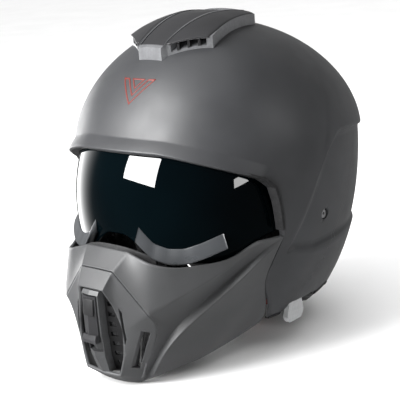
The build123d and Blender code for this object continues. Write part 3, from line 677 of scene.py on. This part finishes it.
def crown_point(x, y, rise):
    """Point above the dome at a plan position (x, y) in the part's own millimetres."""
    flat = np.stack([np.asarray(x, float), np.asarray(y, float) - DOME_CENTRE[1]], -1)
    length = np.where(flat[..., 1] > 0, REAR, FRONT)
    plan = (np.abs(flat[..., 0]) / HALF_WIDTH) ** PLAN_POWER + (np.abs(flat[..., 1]) / length) ** PLAN_POWER
    z = CROWN * (1 - np.clip(plan, 0, 0.999) ** (CROWN_POWER / PLAN_POWER)) ** (1 / CROWN_POWER)
    p = np.concatenate([flat, z[..., None]], -1)
    return p + dome_normal(p) * np.asarray(rise, float)[..., None] + DOME_CENTRE


def plate(name, side, edges, ys, base, top, material):
    """Thin crowned plate on one side of the vent, with rolled edges; edges(y) gives its two sides."""
    rows_of = []
    for y in ys:
        a, b = edges(y)
        if side < 0:
            a, b = -b, -a
        width = b - a
        xs = np.concatenate([[a, a], np.linspace(a + 0.5, b - 0.5, 14), [b, b]])
        middle_share = (np.clip((xs - a) / width, 0, 1) - 0.5) * 2
        rise = top + 0.25 * (1 - middle_share ** 2)
        rise[0] = rise[-1] = base
        rise[1] = rise[-2] = top - 0.35
        rows_of.append(crown_point(xs, np.full_like(xs, y), rise))
    before, after = (row - dome_normal(row - DOME_CENTRE) * (top - base) for row in (rows_of[0], rows_of[-1]))
    stack = np.array([before, *rows_of, after])
    faces = grid_faces(stack.shape[0], stack.shape[1], flip=True)
    build(name, stack.reshape(-1, 3), faces, material, "helmet")


# The vent's outline in plan: (y, x)
VENT_OUT = [(-59.5, 13), (-54.5, 16), (-31.5, 47), (41.5, 35)]
vent_ys, vent_xs = zip(*VENT_OUT)


def seam_x(y):
    return np.interp(y, [-58, 40], [13.3, 22.5])


def panel_edges(y):
    inset = np.interp(y, [-59, -54, -31.5, -20, 41], [1.0, 3.4, 4.6, 3.0, 3.0])
    return seam_x(y) + 0.7, np.interp(y, vent_ys, vent_xs) - inset


def line_edges(y):
    return seam_x(y) - 0.5, seam_x(y) + 0.5


panel_ys = np.concatenate([np.linspace(-50.5, -31.5, 20), np.linspace(-29.5, 38.5, 36)])
line_ys = np.linspace(-53.5, 39, 60)
for side, name in ((1, "vent_panel_left"), (-1, "vent_panel_right")):
    plate(name, side, panel_edges, panel_ys, 8.6, 9.35, DARK_SATIN)
for side, name in ((1, "vent_line_left"), (-1, "vent_line_right")):
    plate(name, side, line_edges, line_ys, 8.7, 9.4, BEZEL)


def ribbon(name, loop, width, place, material, body, replaced=()):
    """Thin closed band inside a closed outline, laid on a surface by place(points, rise)."""
    loop = np.asarray(loop, float)
    d1, d2 = unit(loop - np.roll(loop, 1, axis=0)), unit(np.roll(loop, -1, axis=0) - loop)
    n1, n2 = np.stack([-d1[:, 1], d1[:, 0]], 1), np.stack([-d2[:, 1], d2[:, 0]], 1)
    mitre = (n1 + n2) / (1 + (n1 * n2).sum(1))[:, None]
    shares = np.linspace(0, 1, 12, endpoint=False)[:, None]
    outer_points, inner_points = (
        np.concatenate([line[i] + (line[(i + 1) % len(line)] - line[i]) * shares for i in range(len(line))])
        for line in (loop, loop + mitre * width))
    rows_of = [place(outer_points, -0.1), place(outer_points * 0.93 + inner_points * 0.07, 0.22),
               place(outer_points * 0.07 + inner_points * 0.93, 0.22), place(inner_points, -0.1)]
    faces = grid_faces(4, len(outer_points), wrap=True)
    build(name, np.concatenate(rows_of), faces, material, body, replaced)


def on_forehead(points, rise):
    x, z = points[:, 0], points[:, 1] - DOME_CENTRE[2]
    level = (1 - (np.abs(z) / CROWN) ** CROWN_POWER) ** (1 / CROWN_POWER)
    y = -FRONT * level * (1 - (np.abs(x) / (HALF_WIDTH * level)) ** PLAN_POWER) ** (1 / PLAN_POWER)
    p = np.stack([x, y, z], 1)
    return p + dome_normal(p) * rise + DOME_CENTRE


OUTER_MARK = [(0, 229), (18.5, 248.5), (11, 248.5), (0, 237), (-11, 248.5), (-18.5, 248.5)]
INNER_MARK = [(0, 240.5), (7.5, 248.5), (-7.5, 248.5)]
ribbon("emblem_outline", OUTER_MARK, 1.1, on_forehead, EMBLEM, "helmet", ["emblem"])
ribbon("emblem_inner", INNER_MARK, 1.0, on_forehead, EMBLEM, "helmet")

# ---- sun visor

HINGE_Y, HINGE_Z, REACH, SIDE, POWER = 17.3, 132.0, 137.0, 108.0, 2.5
# Lower edge of the lens seen from the front (x, z)
LENS_EDGE = [
    (0, 126), (10, 126), (20, 120), (37, 105.5), (57, 103), (72, 101.5), (83, 101.4), (89, 103), (95, 110),
    (100, 117), (103, 118.6), (112, 119)]
lens_line = rounded([(-x, z) for x, z in LENS_EDGE[:0:-1]] + LENS_EDGE, 0.5, 7.0)


def lens_radius(x, grow=0.0):
    return (REACH + grow) * (1 - np.clip(np.abs(x) / (SIDE + grow), 0, 1) ** POWER) ** (1 / POWER)


def lens_point(x, turn, grow=0.0):
    """Point of the lens at x, turned up from level by an angle, moved out along the surface's normal."""
    radius = lens_radius(x)
    slope = (lens_radius(x + 0.01) - lens_radius(x - 0.01)) / 0.02
    scale = 1 / np.sqrt(1 + slope * slope)
    out = radius + grow * scale
    y, z = HINGE_Y - out * np.cos(turn), HINGE_Z + out * np.sin(turn)
    return np.stack([x - grow * slope * scale, y, z], -1)


def turn_at(x, height):
    """The angle from level at which the lens is at a height."""
    return np.arcsin(np.clip((height - HINGE_Z) / lens_radius(x), -0.99, 0.99))


lens_x = 106.9 * np.sin(np.linspace(-math.pi / 2, math.pi / 2, 181))
low_turn = turn_at(lens_x, np.interp(lens_x, lens_line[:, 0], lens_line[:, 1]))
high_turn = np.full_like(lens_x, math.radians(36))
LENS_WALL, LENS_ROUND = 2.4, 0.9
turn_share = np.concatenate([np.linspace(0, 0.04, 4)[:-1], np.linspace(0.04, 1, 60)])
turns = [low_turn + (high_turn - low_turn) * share for share in turn_share]
round_turn = LENS_ROUND / lens_radius(lens_x)


def rolled_edge(turn, side):
    """Rows over the lens's upper edge (side 1) or lower one (side -1), from the outer face inwards."""
    rows_of = []
    for inner, angles in ((False, (30, 60, 90)), (True, (90, 60, 30))):
        for a in np.radians(angles):
            drop = LENS_ROUND * (1 - math.cos(a))
            grow = drop - LENS_WALL if inner else -drop
            rows_of.append(lens_point(lens_x, turn + side * round_turn * math.sin(a), grow))
    return rows_of


lens_rows = [lens_point(lens_x, row) for row in turns]
lens_rows += rolled_edge(high_turn, 1)
lens_rows += [lens_point(lens_x, row, -LENS_WALL) for row in turns[::-1]]
lens_rows += rolled_edge(low_turn, -1)[::-1]
lens_grid = np.array(lens_rows).transpose(1, 0, 2)
lens_faces = tube_faces(*lens_grid.shape[:2])
lens_points = lens_grid.reshape(-1, 3)
lens = build("visor_glass", lens_points, lens_faces, LENS, "sun_visor", ["visor_lens"])

# Finger ledges: wedges along the lens's lower edge, either side of the nose; their pale grey colour is a
# painted reflection of the light their top faces catch
LEDGE = [(25, 122), (38, 108), (50, 103.7), (62, 103.7), (74, 108), (86, 114)]
# Their section: how far up the lens and how far out from it
LEDGE_RING = [
    (12.0, -0.6), (12.2, 0.15), (11.5, 0.6), (2.8, 6.9), (2.0, 7.1), (1.3, 6.7), (0.2, 0.4), (0.0, -0.6)]
ledge_line = rounded(LEDGE, 0.5, 5.0)
ledge_x = np.linspace(25.5, 85.5, 61)
ledge_z = np.interp(ledge_x, ledge_line[:, 0], ledge_line[:, 1])
ledge_rows = [lens_point(ledge_x, turn_at(ledge_x, ledge_z + up_by), out_by) for up_by, out_by in LEDGE_RING]
for side, name in ((1, "visor_ledge_left"), (-1, "visor_ledge_right")):
    section = (np.array(ledge_rows) * np.array([side, 1, 1])).transpose(1, 0, 2)
    ledge_faces = tube_faces(*section.shape[:2], flip=side < 0)
    build(name, section.reshape(-1, 3), ledge_faces, LEDGE_PAINTED_REFLECTION, "sun_visor")

# ---- chin mask

# Control points of the left half of the mask (x, y, z)
MASK_POINTS = {
    "T0": (0, -133.6, 117), "T1": (24, -131.8, 116), "T2": (45, -132.5, 109.5), "T3": (59, -124.5, 105),
    "T4": (68, -111.5, 103), "T5": (76, -101.5, 103), "T6": (88, -81.5, 103), "T7": (97, -66, 109.5),
    "T8": (102.5, -56.5, 113.2), "T9": (111.5, -36.3, 113.3), "S0": (0, -146.5, 102.5),
    "S1": (18, -146.2, 102), "S2": (49, -140.8, 68), "S3": (54, -131.3, 57.5), "S4": (40.5, -135.0, 28),
    "S5": (32, -134.8, 7), "S6": (25, -134.0, 0.5), "M0": (0, -156.9, 88.5), "M1": (14.5, -156.3, 88),
    "M2": (21, -150.5, 72), "M3": (26, -149.0, 53), "M4": (26, -150.0, 30), "M5": (20, -151.5, 11.5),
    "M6": (0, -153.0, 10.5), "C1": (15, -139.5, 1.0), "C0": (0, -141.0, 0.3), "Ra": (65.5, -125.3, 78.5),
    "Rb": (78.5, -105.2, 87.3), "Rc": (90.4, -79.9, 98), "Rd": (99.8, -58.0, 109.0),
    "U0": (103.5, -47, 107), "U1": (90.6, -67.3, 93.0), "U2": (70.7, -98.1, 68.6),
    "U3": (56.3, -118.2, 51.6), "U4": (44.7, -128.0, 29.5), "U5": (34.5, -130.8, 11.9),
    "K0": (108.2, -38.1, 106), "B0": (104.5, -49.5, 103), "B1": (97.2, -71.0, 88.0),
    "B2": (75.0, -100.6, 62.6), "B3": (60.6, -120.7, 45.6), "B4": (48.3, -130.7, 26.0),
    "B5": (39.5, -131.5, 9.0), "K1": (104.6, -40.3, 98), "K2": (96.5, -44.9, 78.5),
    "K3": (93.5, -43.6, 70.5), "K4": (88.5, -36.5, 55.5), "K5": (84.5, -31.8, 45.5),
    "K6": (77.2, -26.6, 30.5), "L1": (86.0, -58.5, 62.0), "L2": (70.5, -82.0, 30.0),
    "L0": (91.5, -50.0, 68.0), "E2": (36.5, -124.0, 5.0), "E3": (53.5, -91.5, 11.0),
    "E4": (64.0, -64.5, 18.0), "E5": (73.5, -40.0, 26.5)
}
MUZZLE_FACES = [
    "S0 S1 M1 M0", "S1 S2 M3 M2", "S1 M2 M1", "S2 S3 M4 M3", "S3 S4 M4", "S4 S5 M5 M4", "S5 S6 C1 M5",
    "M5 C1 C0 M6"]
SIDE_FACES = [
    "T0 T1 S1 S0", "T1 T2 S2 S1", "T2 T3 Ra S2", "T3 T4 Rb Ra", "T4 T5 Rc Rb", "T5 T6 Rc", "T6 T7 Rd Rc",
    "T7 T8 Rd", "S2 Ra U2 U3", "Ra Rb U2", "Rb Rc U1 U2", "Rc Rd U1", "Rd U0 U1", "S2 U3 S3",
    "S3 U3 U4 S4", "S4 U4 U5 S5", "U0 B0 B1 U1", "U1 B1 B2 U2", "U2 B2 B3 U3", "U3 B3 B4 U4",
    "U4 B4 B5 U5", "S5 U5 B5 S6", "T8 T9 U0 Rd", "T9 K0 B0 U0", "K0 K1 B0", "B0 K1 L0 B1", "K1 K2 L0",
    "L0 K2 K3 L1", "B1 L0 L1 B2", "L1 L2 B3 B2", "L2 E3 B4 B3", "B4 E3 E2 B5", "K3 K4 L1", "L1 K4 K5 E5",
    "L1 E5 E4 L2", "K5 K6 E5", "L2 E4 E3", "S6 B5 E2"]
CREASES = [
    ("T1 S1 M1", 1.0), ("S1 S2 S3 S4 S5 S6", 1.0), ("S0 S1", 1.0), ("S2 Ra Rb Rc Rd T8", 1.0),
    ("T9 U0 U1 U2 U3 U4 U5 S5", 1.0), ("K0 B0 B1 B2 B3 B4 B5", 1.0), ("L0 L1 L2 E3", 0.35), ("S2 M3", 0.7),
    ("M1 M2 M3 M4 M5 M6", 1.0), ("M0 M1", 1.0), ("T2 S2", 0.25), ("C1 S6 B5 E2", 0.5), ("M5 C1", 0.6)]


def creased_mesh(faces):
    """Both halves of the control net with its sharp edges marked; slot 1 is the muzzle and 0 the rest."""
    mesh = bmesh.new()
    vertices = {}

    def vertex(name, side):
        x, y, z = MASK_POINTS[name]
        key = name if x == 0 else (name, side)
        if key not in vertices:
            vertices[key] = mesh.verts.new((side * x * MM, y * MM, z * MM))
        return vertices[key]

    for side in (1, -1):
        for face in faces:
            corners = [vertex(name, side) for name in face.split()]
            if side > 0:
                corners.reverse()
            made = mesh.faces.new(corners)
            made.material_index = 1 if face in MUZZLE_FACES else 0
            made.smooth = True
    layer = mesh.edges.layers.float.new("crease_edge")
    for side in (1, -1):
        for line, sharpness in CREASES:
            names = line.split()
            for first, second in zip(names, names[1:]):
                pair = (vertex(first, side), vertex(second, side))
                found = mesh.edges.get(pair)
                if found:
                    found[layer] = sharpness
    return mesh


net = creased_mesh(MUZZLE_FACES + SIDE_FACES)
net_mesh = bpy.data.meshes.new("mask_net")
net.to_mesh(net_mesh)
net.free()
net_mesh.materials.append(MASK)
net_mesh.materials.append(MASK)
net_piece = added("mask_net", net_mesh)
subdivided(net_piece, 4)
applied(net_piece)

SIDE_OUTLET = [(40.5, 53), (46, 51), (32, 17), (27.5, 19)]
INNER_SLOT = [(24, 72), (26.4, 69), (28.8, 45), (27.2, 41)]
SEAM_GAP, MASK_WALL = 0.45, 3.0

for part, name, replaced in ((1, "mask_muzzle_skin", "mask_muzzle"), (0, "mask_shell_skin", "mask_shell")):
    mesh = bmesh.new()
    mesh.from_mesh(net_piece.data)
    seam = [edge for edge in mesh.edges if len({face.material_index for face in edge.link_faces}) == 2]
    moves = {}
    for v in {v for edge in seam for v in edge.verts}:
        own = [face for face in v.link_faces if face.material_index == part]
        inward = sum((face.calc_center_median() - v.co for face in own), Vector()) / max(1, len(own))
        inward -= v.normal * inward.dot(v.normal)
        if inward.length > 1e-9:
            moves[v] = v.co + inward.normalized() * SEAM_GAP * MM
    for v, place in moves.items():
        v.co = place
    other = [face for face in mesh.faces if face.material_index != part]
    bmesh.ops.delete(mesh, geom=other, context="FACES")
    bmesh.ops.recalc_face_normals(mesh, faces=mesh.faces)
    for face in mesh.faces:
        face.material_index = 0
    skin = bpy.data.meshes.new(name)
    mesh.to_mesh(skin)
    mesh.free()
    skin.materials.append(MASK)
    piece = added(name, skin)
    thickened(piece, MASK_WALL, -1)
    applied(piece)
    if part == 1:
        for side in (1, -1):
            for outlet in (SIDE_OUTLET, INNER_SLOT):
                cut_with(piece, *prism([(side * x, z) for x, z in outlet], 1, -170, -118))
    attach(piece, "chin_mask")
    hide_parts(replaced)
bpy.data.objects.remove(net_piece)

# Dark window let into the front of the slider, whose faces meet in a blunt ridge: (x, z)
WINDOW = [(-6.0, 66.0), (-6.0, 80.0), (0.0, 66.0), (0.0, 80.0), (6.0, 66.0), (6.0, 80.0)]
window_points = [(x, -162.0 + (z - 67) * 0.103 + abs(x) * 0.16, z) for x, z in WINDOW]
window_faces = [(0, 1, 3, 2), (2, 3, 5, 4)]
window = build("slider_window", window_points, window_faces, BLACK, "mask_slider")
thickened(window, 1.0, 0)
window_edge = window.modifiers.new("edge", "BEVEL")
window_edge.width = 0.25 * MM
window_edge.segments = 3
window_edge.angle_limit = math.radians(40)
applied(window)

# ---- pads, straps and filter

scene = bpy.context.scene
CLOTH_PRESSURE, CLOTH_FRAMES = 4.0, 20
# Sewn channels run slantwise over the pads, all in millimetres
CHANNEL_SPACING, CHANNEL_START, CHANNEL_SLANT = 34.0, 12.0, 0.55
CHANNEL_WIDTH, CHANNEL_DEPTH = 2.4, 1.5
# No swollen point leaves the pad's own box by more than this, in metres
BOX_ROOM = 0.002


def pad_from(node_name, name, material, body, slot, fill, voxel, shrink, cap):
    """Soft pad swollen by a cloth simulation from a slightly shrunken copy of the pad's solid."""
    low_corner, high_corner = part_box(node_name)
    mesh = nodes[node_name].data.copy()
    mesh.materials.clear()
    mesh.materials.append(material)
    pad = added(name, mesh)
    remesh = pad.modifiers.new("remesh", "REMESH")
    remesh.mode = "VOXEL"
    remesh.voxel_size = voxel * MM
    applied(pad)
    relax = pad.modifiers.new("relax", "SMOOTH")
    relax.factor, relax.iterations = 0.5, 6
    inwards = pad.modifiers.new("inwards", "DISPLACE")
    inwards.strength = -shrink * MM
    inwards.mid_level = 0
    applied(pad)
    start = vertex_values(pad.data)
    cloth = pad.modifiers.new("cloth", "CLOTH")
    cloth.settings.use_pressure = True
    cloth.settings.uniform_pressure_force = CLOTH_PRESSURE
    cloth.settings.effector_weights.gravity = 0
    cloth.settings.quality = 5
    cloth.collision_settings.use_collision = False
    cloth.point_cache.frame_start, cloth.point_cache.frame_end = 1, CLOTH_FRAMES
    for number in range(1, CLOTH_FRAMES + 1):
        scene.frame_set(number)
    applied(pad)
    scene.frame_set(1)
    shift = vertex_values(pad.data) - start
    length = np.maximum(np.linalg.norm(shift, axis=1, keepdims=True), 1e-9)
    swollen = start + shift * np.minimum(1, cap * MM / length)
    swollen = np.clip(swollen, np.array(low_corner) - BOX_ROOM, np.array(high_corner) + BOX_ROOM)
    pad.data.vertices.foreach_set("co", swollen.ravel())
    # The channels are pressed in after the swelling
    places = vertex_values(pad.data)
    along = (places[:, 1] - low_corner[1]) / MM + CHANNEL_SLANT * ((places[:, 2] - low_corner[2]) / MM)
    nearest = np.abs((along + CHANNEL_START) % CHANNEL_SPACING - CHANNEL_SPACING / 2)
    pressed = np.exp(-(nearest / CHANNEL_WIDTH) ** 2)[:, None] * CHANNEL_DEPTH * MM
    places = places - vertex_values(pad.data, "normal") * pressed
    pad.data.vertices.foreach_set("co", places.ravel())
    pad.data.update()
    subdivided(pad, 1)
    applied(pad)
    pad.data.polygons.foreach_set("use_smooth", [True] * len(pad.data.polygons))
    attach(pad, body)
    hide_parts(node_name)


# CAD node, piece, look, body, slot, fill, then voxel, shrinkage and the most a point may move, in millimetres
PADS = [
    ("crown_pad", "crown_cushion", KNIT, "helmet", "knit", 0.6, 4.0, 1.2, 2.0),
    ("cheek_pad_left", "cheek_cushion_left", KNIT, "helmet", "knit", 0.75, 5.0, 1.2, 2.5),
    ("cheek_pad_right", "cheek_cushion_right", KNIT, "helmet", "knit", 0.75, 5.0, 1.2, 2.5),
    ("neck_roll", "neck_cushion", LEATHER, "helmet", "leatherette", 0.8, 4.5, 1.2, 2.5),
    ("mask_lining_left", "mask_cushion_left", SUEDE, "chin_mask", "foam", 0.5, 2.0, 0.5, 0.8),
    ("mask_lining_right", "mask_cushion_right", SUEDE, "chin_mask", "foam", 0.5, 2.0, 0.5, 0.8)]
for row in PADS:
    pad_from(*row)

STRAP_AXIS_Z = 121.6
# Half of the strap's section: in from its edge, and the share of its half thickness there
STRAP_SIDE = [(0, 0.62), (0.25, 0.9), (0.9, 1.0), (2.0, 0.8), (2.6, 0.62), (3.2, 0.85), (6, 0.95)]
STRAP_FILL = 0.95


def woven_strap(node_name, name):
    """Flat webbing along the strap's arc: rolled edges, two stitch lines and a slight ripple."""
    points = vertex_values(nodes[node_name].data) / MM
    bearing = np.arctan2(points[:, 0], -(points[:, 2] - STRAP_AXIS_Z))
    reach = np.hypot(points[:, 0], points[:, 2] - STRAP_AXIS_Z)
    start_at, end_at = bearing.min(), bearing.max()
    low_y, high_y = points[:, 1].min(), points[:, 1].max()
    # Middle of the strap's wall along its run, from the solid itself
    marks = np.linspace(start_at, end_at, 9)
    middle_reach = [reach[np.abs(bearing - mark) < (end_at - start_at) / 10].mean() for mark in marks]
    half_wall = min(1.0, (reach.max() - reach.min()) / 2)
    width = high_y - low_y
    side = STRAP_SIDE + [(width / 2, 0.95)] + [(width - u, v) for u, v in STRAP_SIDE[::-1]]
    ring = side + [(u, -v) for u, v in side[::-1]]
    out = []
    for turn in np.linspace(start_at, end_at, 120):
        centre = np.interp(turn, marks, middle_reach) + 0.12 * math.sin(turn * 60)
        for u, v in ring:
            radius = centre + v * half_wall * STRAP_FILL
            out.append((math.sin(turn) * radius, low_y + u, STRAP_AXIS_Z - math.cos(turn) * radius))
    n, m = len(out) // len(ring), len(ring)
    faces = grid_faces(n, m, wrap=True) + [tuple(range(m - 1, -1, -1)), tuple(range((n - 1) * m, n * m))]
    build(name, out, faces, WEB, "helmet", [node_name])


woven_strap("strap_left", "chin_strap_left")
woven_strap("strap_right", "chin_strap_right")


def mask_sheet(name, rows, material, thick, replaced=()):
    """Thin curved sheet through rows of points (x >= 0 half), mirrored, with a wall."""
    half = np.array(rows, float)
    both = np.concatenate([half[:, :0:-1] * np.array([-1, 1, 1]), half], axis=1)
    faces = grid_faces(both.shape[0], both.shape[1])
    piece = build(name, both.reshape(-1, 3), faces, material, "chin_mask", replaced)
    subdivided(piece, 3)
    thickened(piece, thick, 0)
    applied(piece)


BREATH_GUARD = [
    [(0, -127, 118), (16, -126, 117.5), (32, -122, 113), (42, -116.5, 108)],
    [(0, -129.5, 110), (16, -128, 109.5), (33, -123, 105), (43, -118, 101)],
    [(0, -134, 99), (16, -132.5, 98.5), (33, -126, 95), (43, -121, 92)]]
FILTER_FOAM = [
    [(0, -145, 88), (10, -144, 88), (20, -139, 86), (27, -133, 83)],
    [(0, -147, 62), (12, -146, 62), (24, -140, 61), (32, -133, 60)],
    [(0, -146, 36), (12, -145, 36), (23, -140, 35), (30, -134, 35)],
    [(0, -141, 12), (10, -140, 12), (18, -137, 12), (25, -133, 13)]]
mask_sheet("breath_guard", BREATH_GUARD, RUBBER, 1.6, ["breath_deflector"])
mask_sheet("filter_foam", FILTER_FOAM, GAUZE, 3.0)

# ---- stage

low, high = cad_box
middle = (low + high) / 2


def direction(azimuth, elevation):
    """Direction from the helmet, in radians: 0 is ahead of its face, positive to the wearer's left."""
    level = math.cos(elevation)
    return Vector((math.sin(azimuth) * level, -math.cos(azimuth) * level, math.sin(elevation)))


AIM = Vector((-0.0275, 0.0181, 0.1149))
CAMERA_DISTANCE, CAMERA_LENS, CAMERA_SENSOR = 1.0399, 98.74, 36
CAMERA_AZIMUTH, CAMERA_ELEVATION, CAMERA_ROLL = (math.radians(angle) for angle in (42.21, 15.27, -4.87))
camera_data = bpy.data.cameras.new("camera")
camera_data.lens = CAMERA_LENS
camera_data.sensor_width = CAMERA_SENSOR
camera_data.clip_start = 0.01
camera = added("camera", camera_data)
back = direction(CAMERA_AZIMUTH, CAMERA_ELEVATION)
level = Vector((math.cos(CAMERA_AZIMUTH), math.sin(CAMERA_AZIMUTH), 0))
right = level * math.cos(CAMERA_ROLL) + back.cross(level) * math.sin(CAMERA_ROLL)
up = back.cross(right)
spot = AIM + back * CAMERA_DISTANCE
camera.matrix_world = Matrix((
    (right.x, up.x, back.x, spot.x), (right.y, up.y, back.y, spot.y), (right.z, up.z, back.z, spot.z),
    (0, 0, 0, 1)))
bpy.context.scene.camera = camera


def softbox(name, azimuth_deg, elevation_deg, distance, width, height, radiance, receivers=None):
    """Soft rectangular light aimed at the helmet; radiance is its brightness seen head on."""
    data = bpy.data.lights.new(name, "AREA")
    data.shape = "RECTANGLE"
    data.size, data.size_y = width, height
    data.energy = radiance * math.pi * width * height
    light = added(name, data)
    towards = direction(math.radians(azimuth_deg), math.radians(elevation_deg))
    light.location = middle + towards * distance
    light.rotation_euler = towards.to_track_quat("Z", "Y").to_euler()
    if receivers:
        light.light_linking.receiver_collection = receivers
    return light


def group_of(name, *pieces):
    """Collection that tells a light which pieces it concerns."""
    group = bpy.data.collections.new(name)
    for piece in pieces:
        group.objects.link(piece)
    return group


ledges = [piece for piece in bpy.data.objects if piece.name.startswith("visor_ledge")]
glass_only = group_of("glass_only", lens)
no_glass = group_of("no_glass", lens, *ledges)
for member in no_glass.collection_objects:
    member.light_linking.link_state = "EXCLUDE"
softbox("key", -23, 22, 1.5, 0.85, 0.52, 25)
softbox("front_top", -26, 46, 1.5, 0.9, 0.6, 13)
softbox("left_fill", -100, -4, 1.5, 0.8, 0.7, 5.0, no_glass)
softbox("right_fill", 105, 30, 1.5, 0.9, 0.9, 1.2)
softbox("overhead", -30, 84, 1.4, 1.0, 1.0, 1.0)
softbox("glass_key", -23, 22, 1.44, 0.82, 0.5, 130, glass_only)
left_glow = softbox("glass_left", -84, 0, 1.5, 1.3, 1.3, 1.0, glass_only)
softbox("glass_side", 92, 5, 1.5, 0.6, 0.13, 50, glass_only)

# The left glow fades out across its width
GLOW_GAIN = 9
left_glow.data.use_nodes = True
glow = left_glow.data.node_tree
glow_place = glow.nodes.new("ShaderNodeNewGeometry")
glow_split = glow.nodes.new("ShaderNodeSeparateXYZ")
glow.links.new(glow_place.outputs["Parametric"], glow_split.inputs["Vector"])
glow_fade = ramp(glow, glow_split.outputs["X"], [(0.15, (1, 1, 1)), (1.0, (0, 0, 0))], "EASE")
glow_strength = maths(glow, "MULTIPLY", glow_fade, GLOW_GAIN)
glow.links.new(glow_strength, glow.nodes["Emission"].inputs["Strength"])

FLOOR_RADIUS = 25
floor_mesh = bpy.data.meshes.new("floor")
floor_mesh.from_pydata([(x, y, low.z) for x, y in circle(0, 0, FLOOR_RADIUS, 96)], [], [list(range(96))])
floor = added("floor", floor_mesh)
floor_material, floor_tree, floor_shader, floor_where = new_material("pale_floor")
floor_colour = shaded(floor_tree, noise(floor_tree, floor_where, 8, 3), (0.86, 0.86, 0.86), (0.9, 0.9, 0.9))
floor_tree.links.new(floor_colour, floor_shader.inputs["Base Color"])
floor_shader.inputs["Roughness"].default_value = 0.8
floor_mesh.materials.append(floor_material)
floor.visible_glossy = False
wash = bpy.data.lights.new("floor_wash", "SUN")
wash.energy, wash.angle = 2.7, math.radians(85)
wash_light = added("floor_wash", wash)
wash_light.location = middle + Vector((0, 0, 2))
wash_light.light_linking.receiver_collection = group_of("floor_only", floor)

# Surroundings that are paler on the far side of the scene, along one fixed direction
world = bpy.data.worlds.new("studio")
scene.world = world
world.use_nodes = True
sky = world.node_tree
place = sky.nodes.new("ShaderNodeTexCoord")
turn = sky.nodes.new("ShaderNodeVectorMath")
turn.operation = "DOT_PRODUCT"
turn.inputs[1].default_value = back
sky.links.new(place.outputs["Generated"], turn.inputs[0])
fade = mapped(sky, turn.outputs["Value"], -0.45, -0.02, 0.4, 0.15)
fade.interpolation_type = "SMOOTHSTEP"
sky.links.new(fade.outputs["Result"], sky.nodes["Background"].inputs["Color"])
scene.view_settings.view_transform = "Standard"
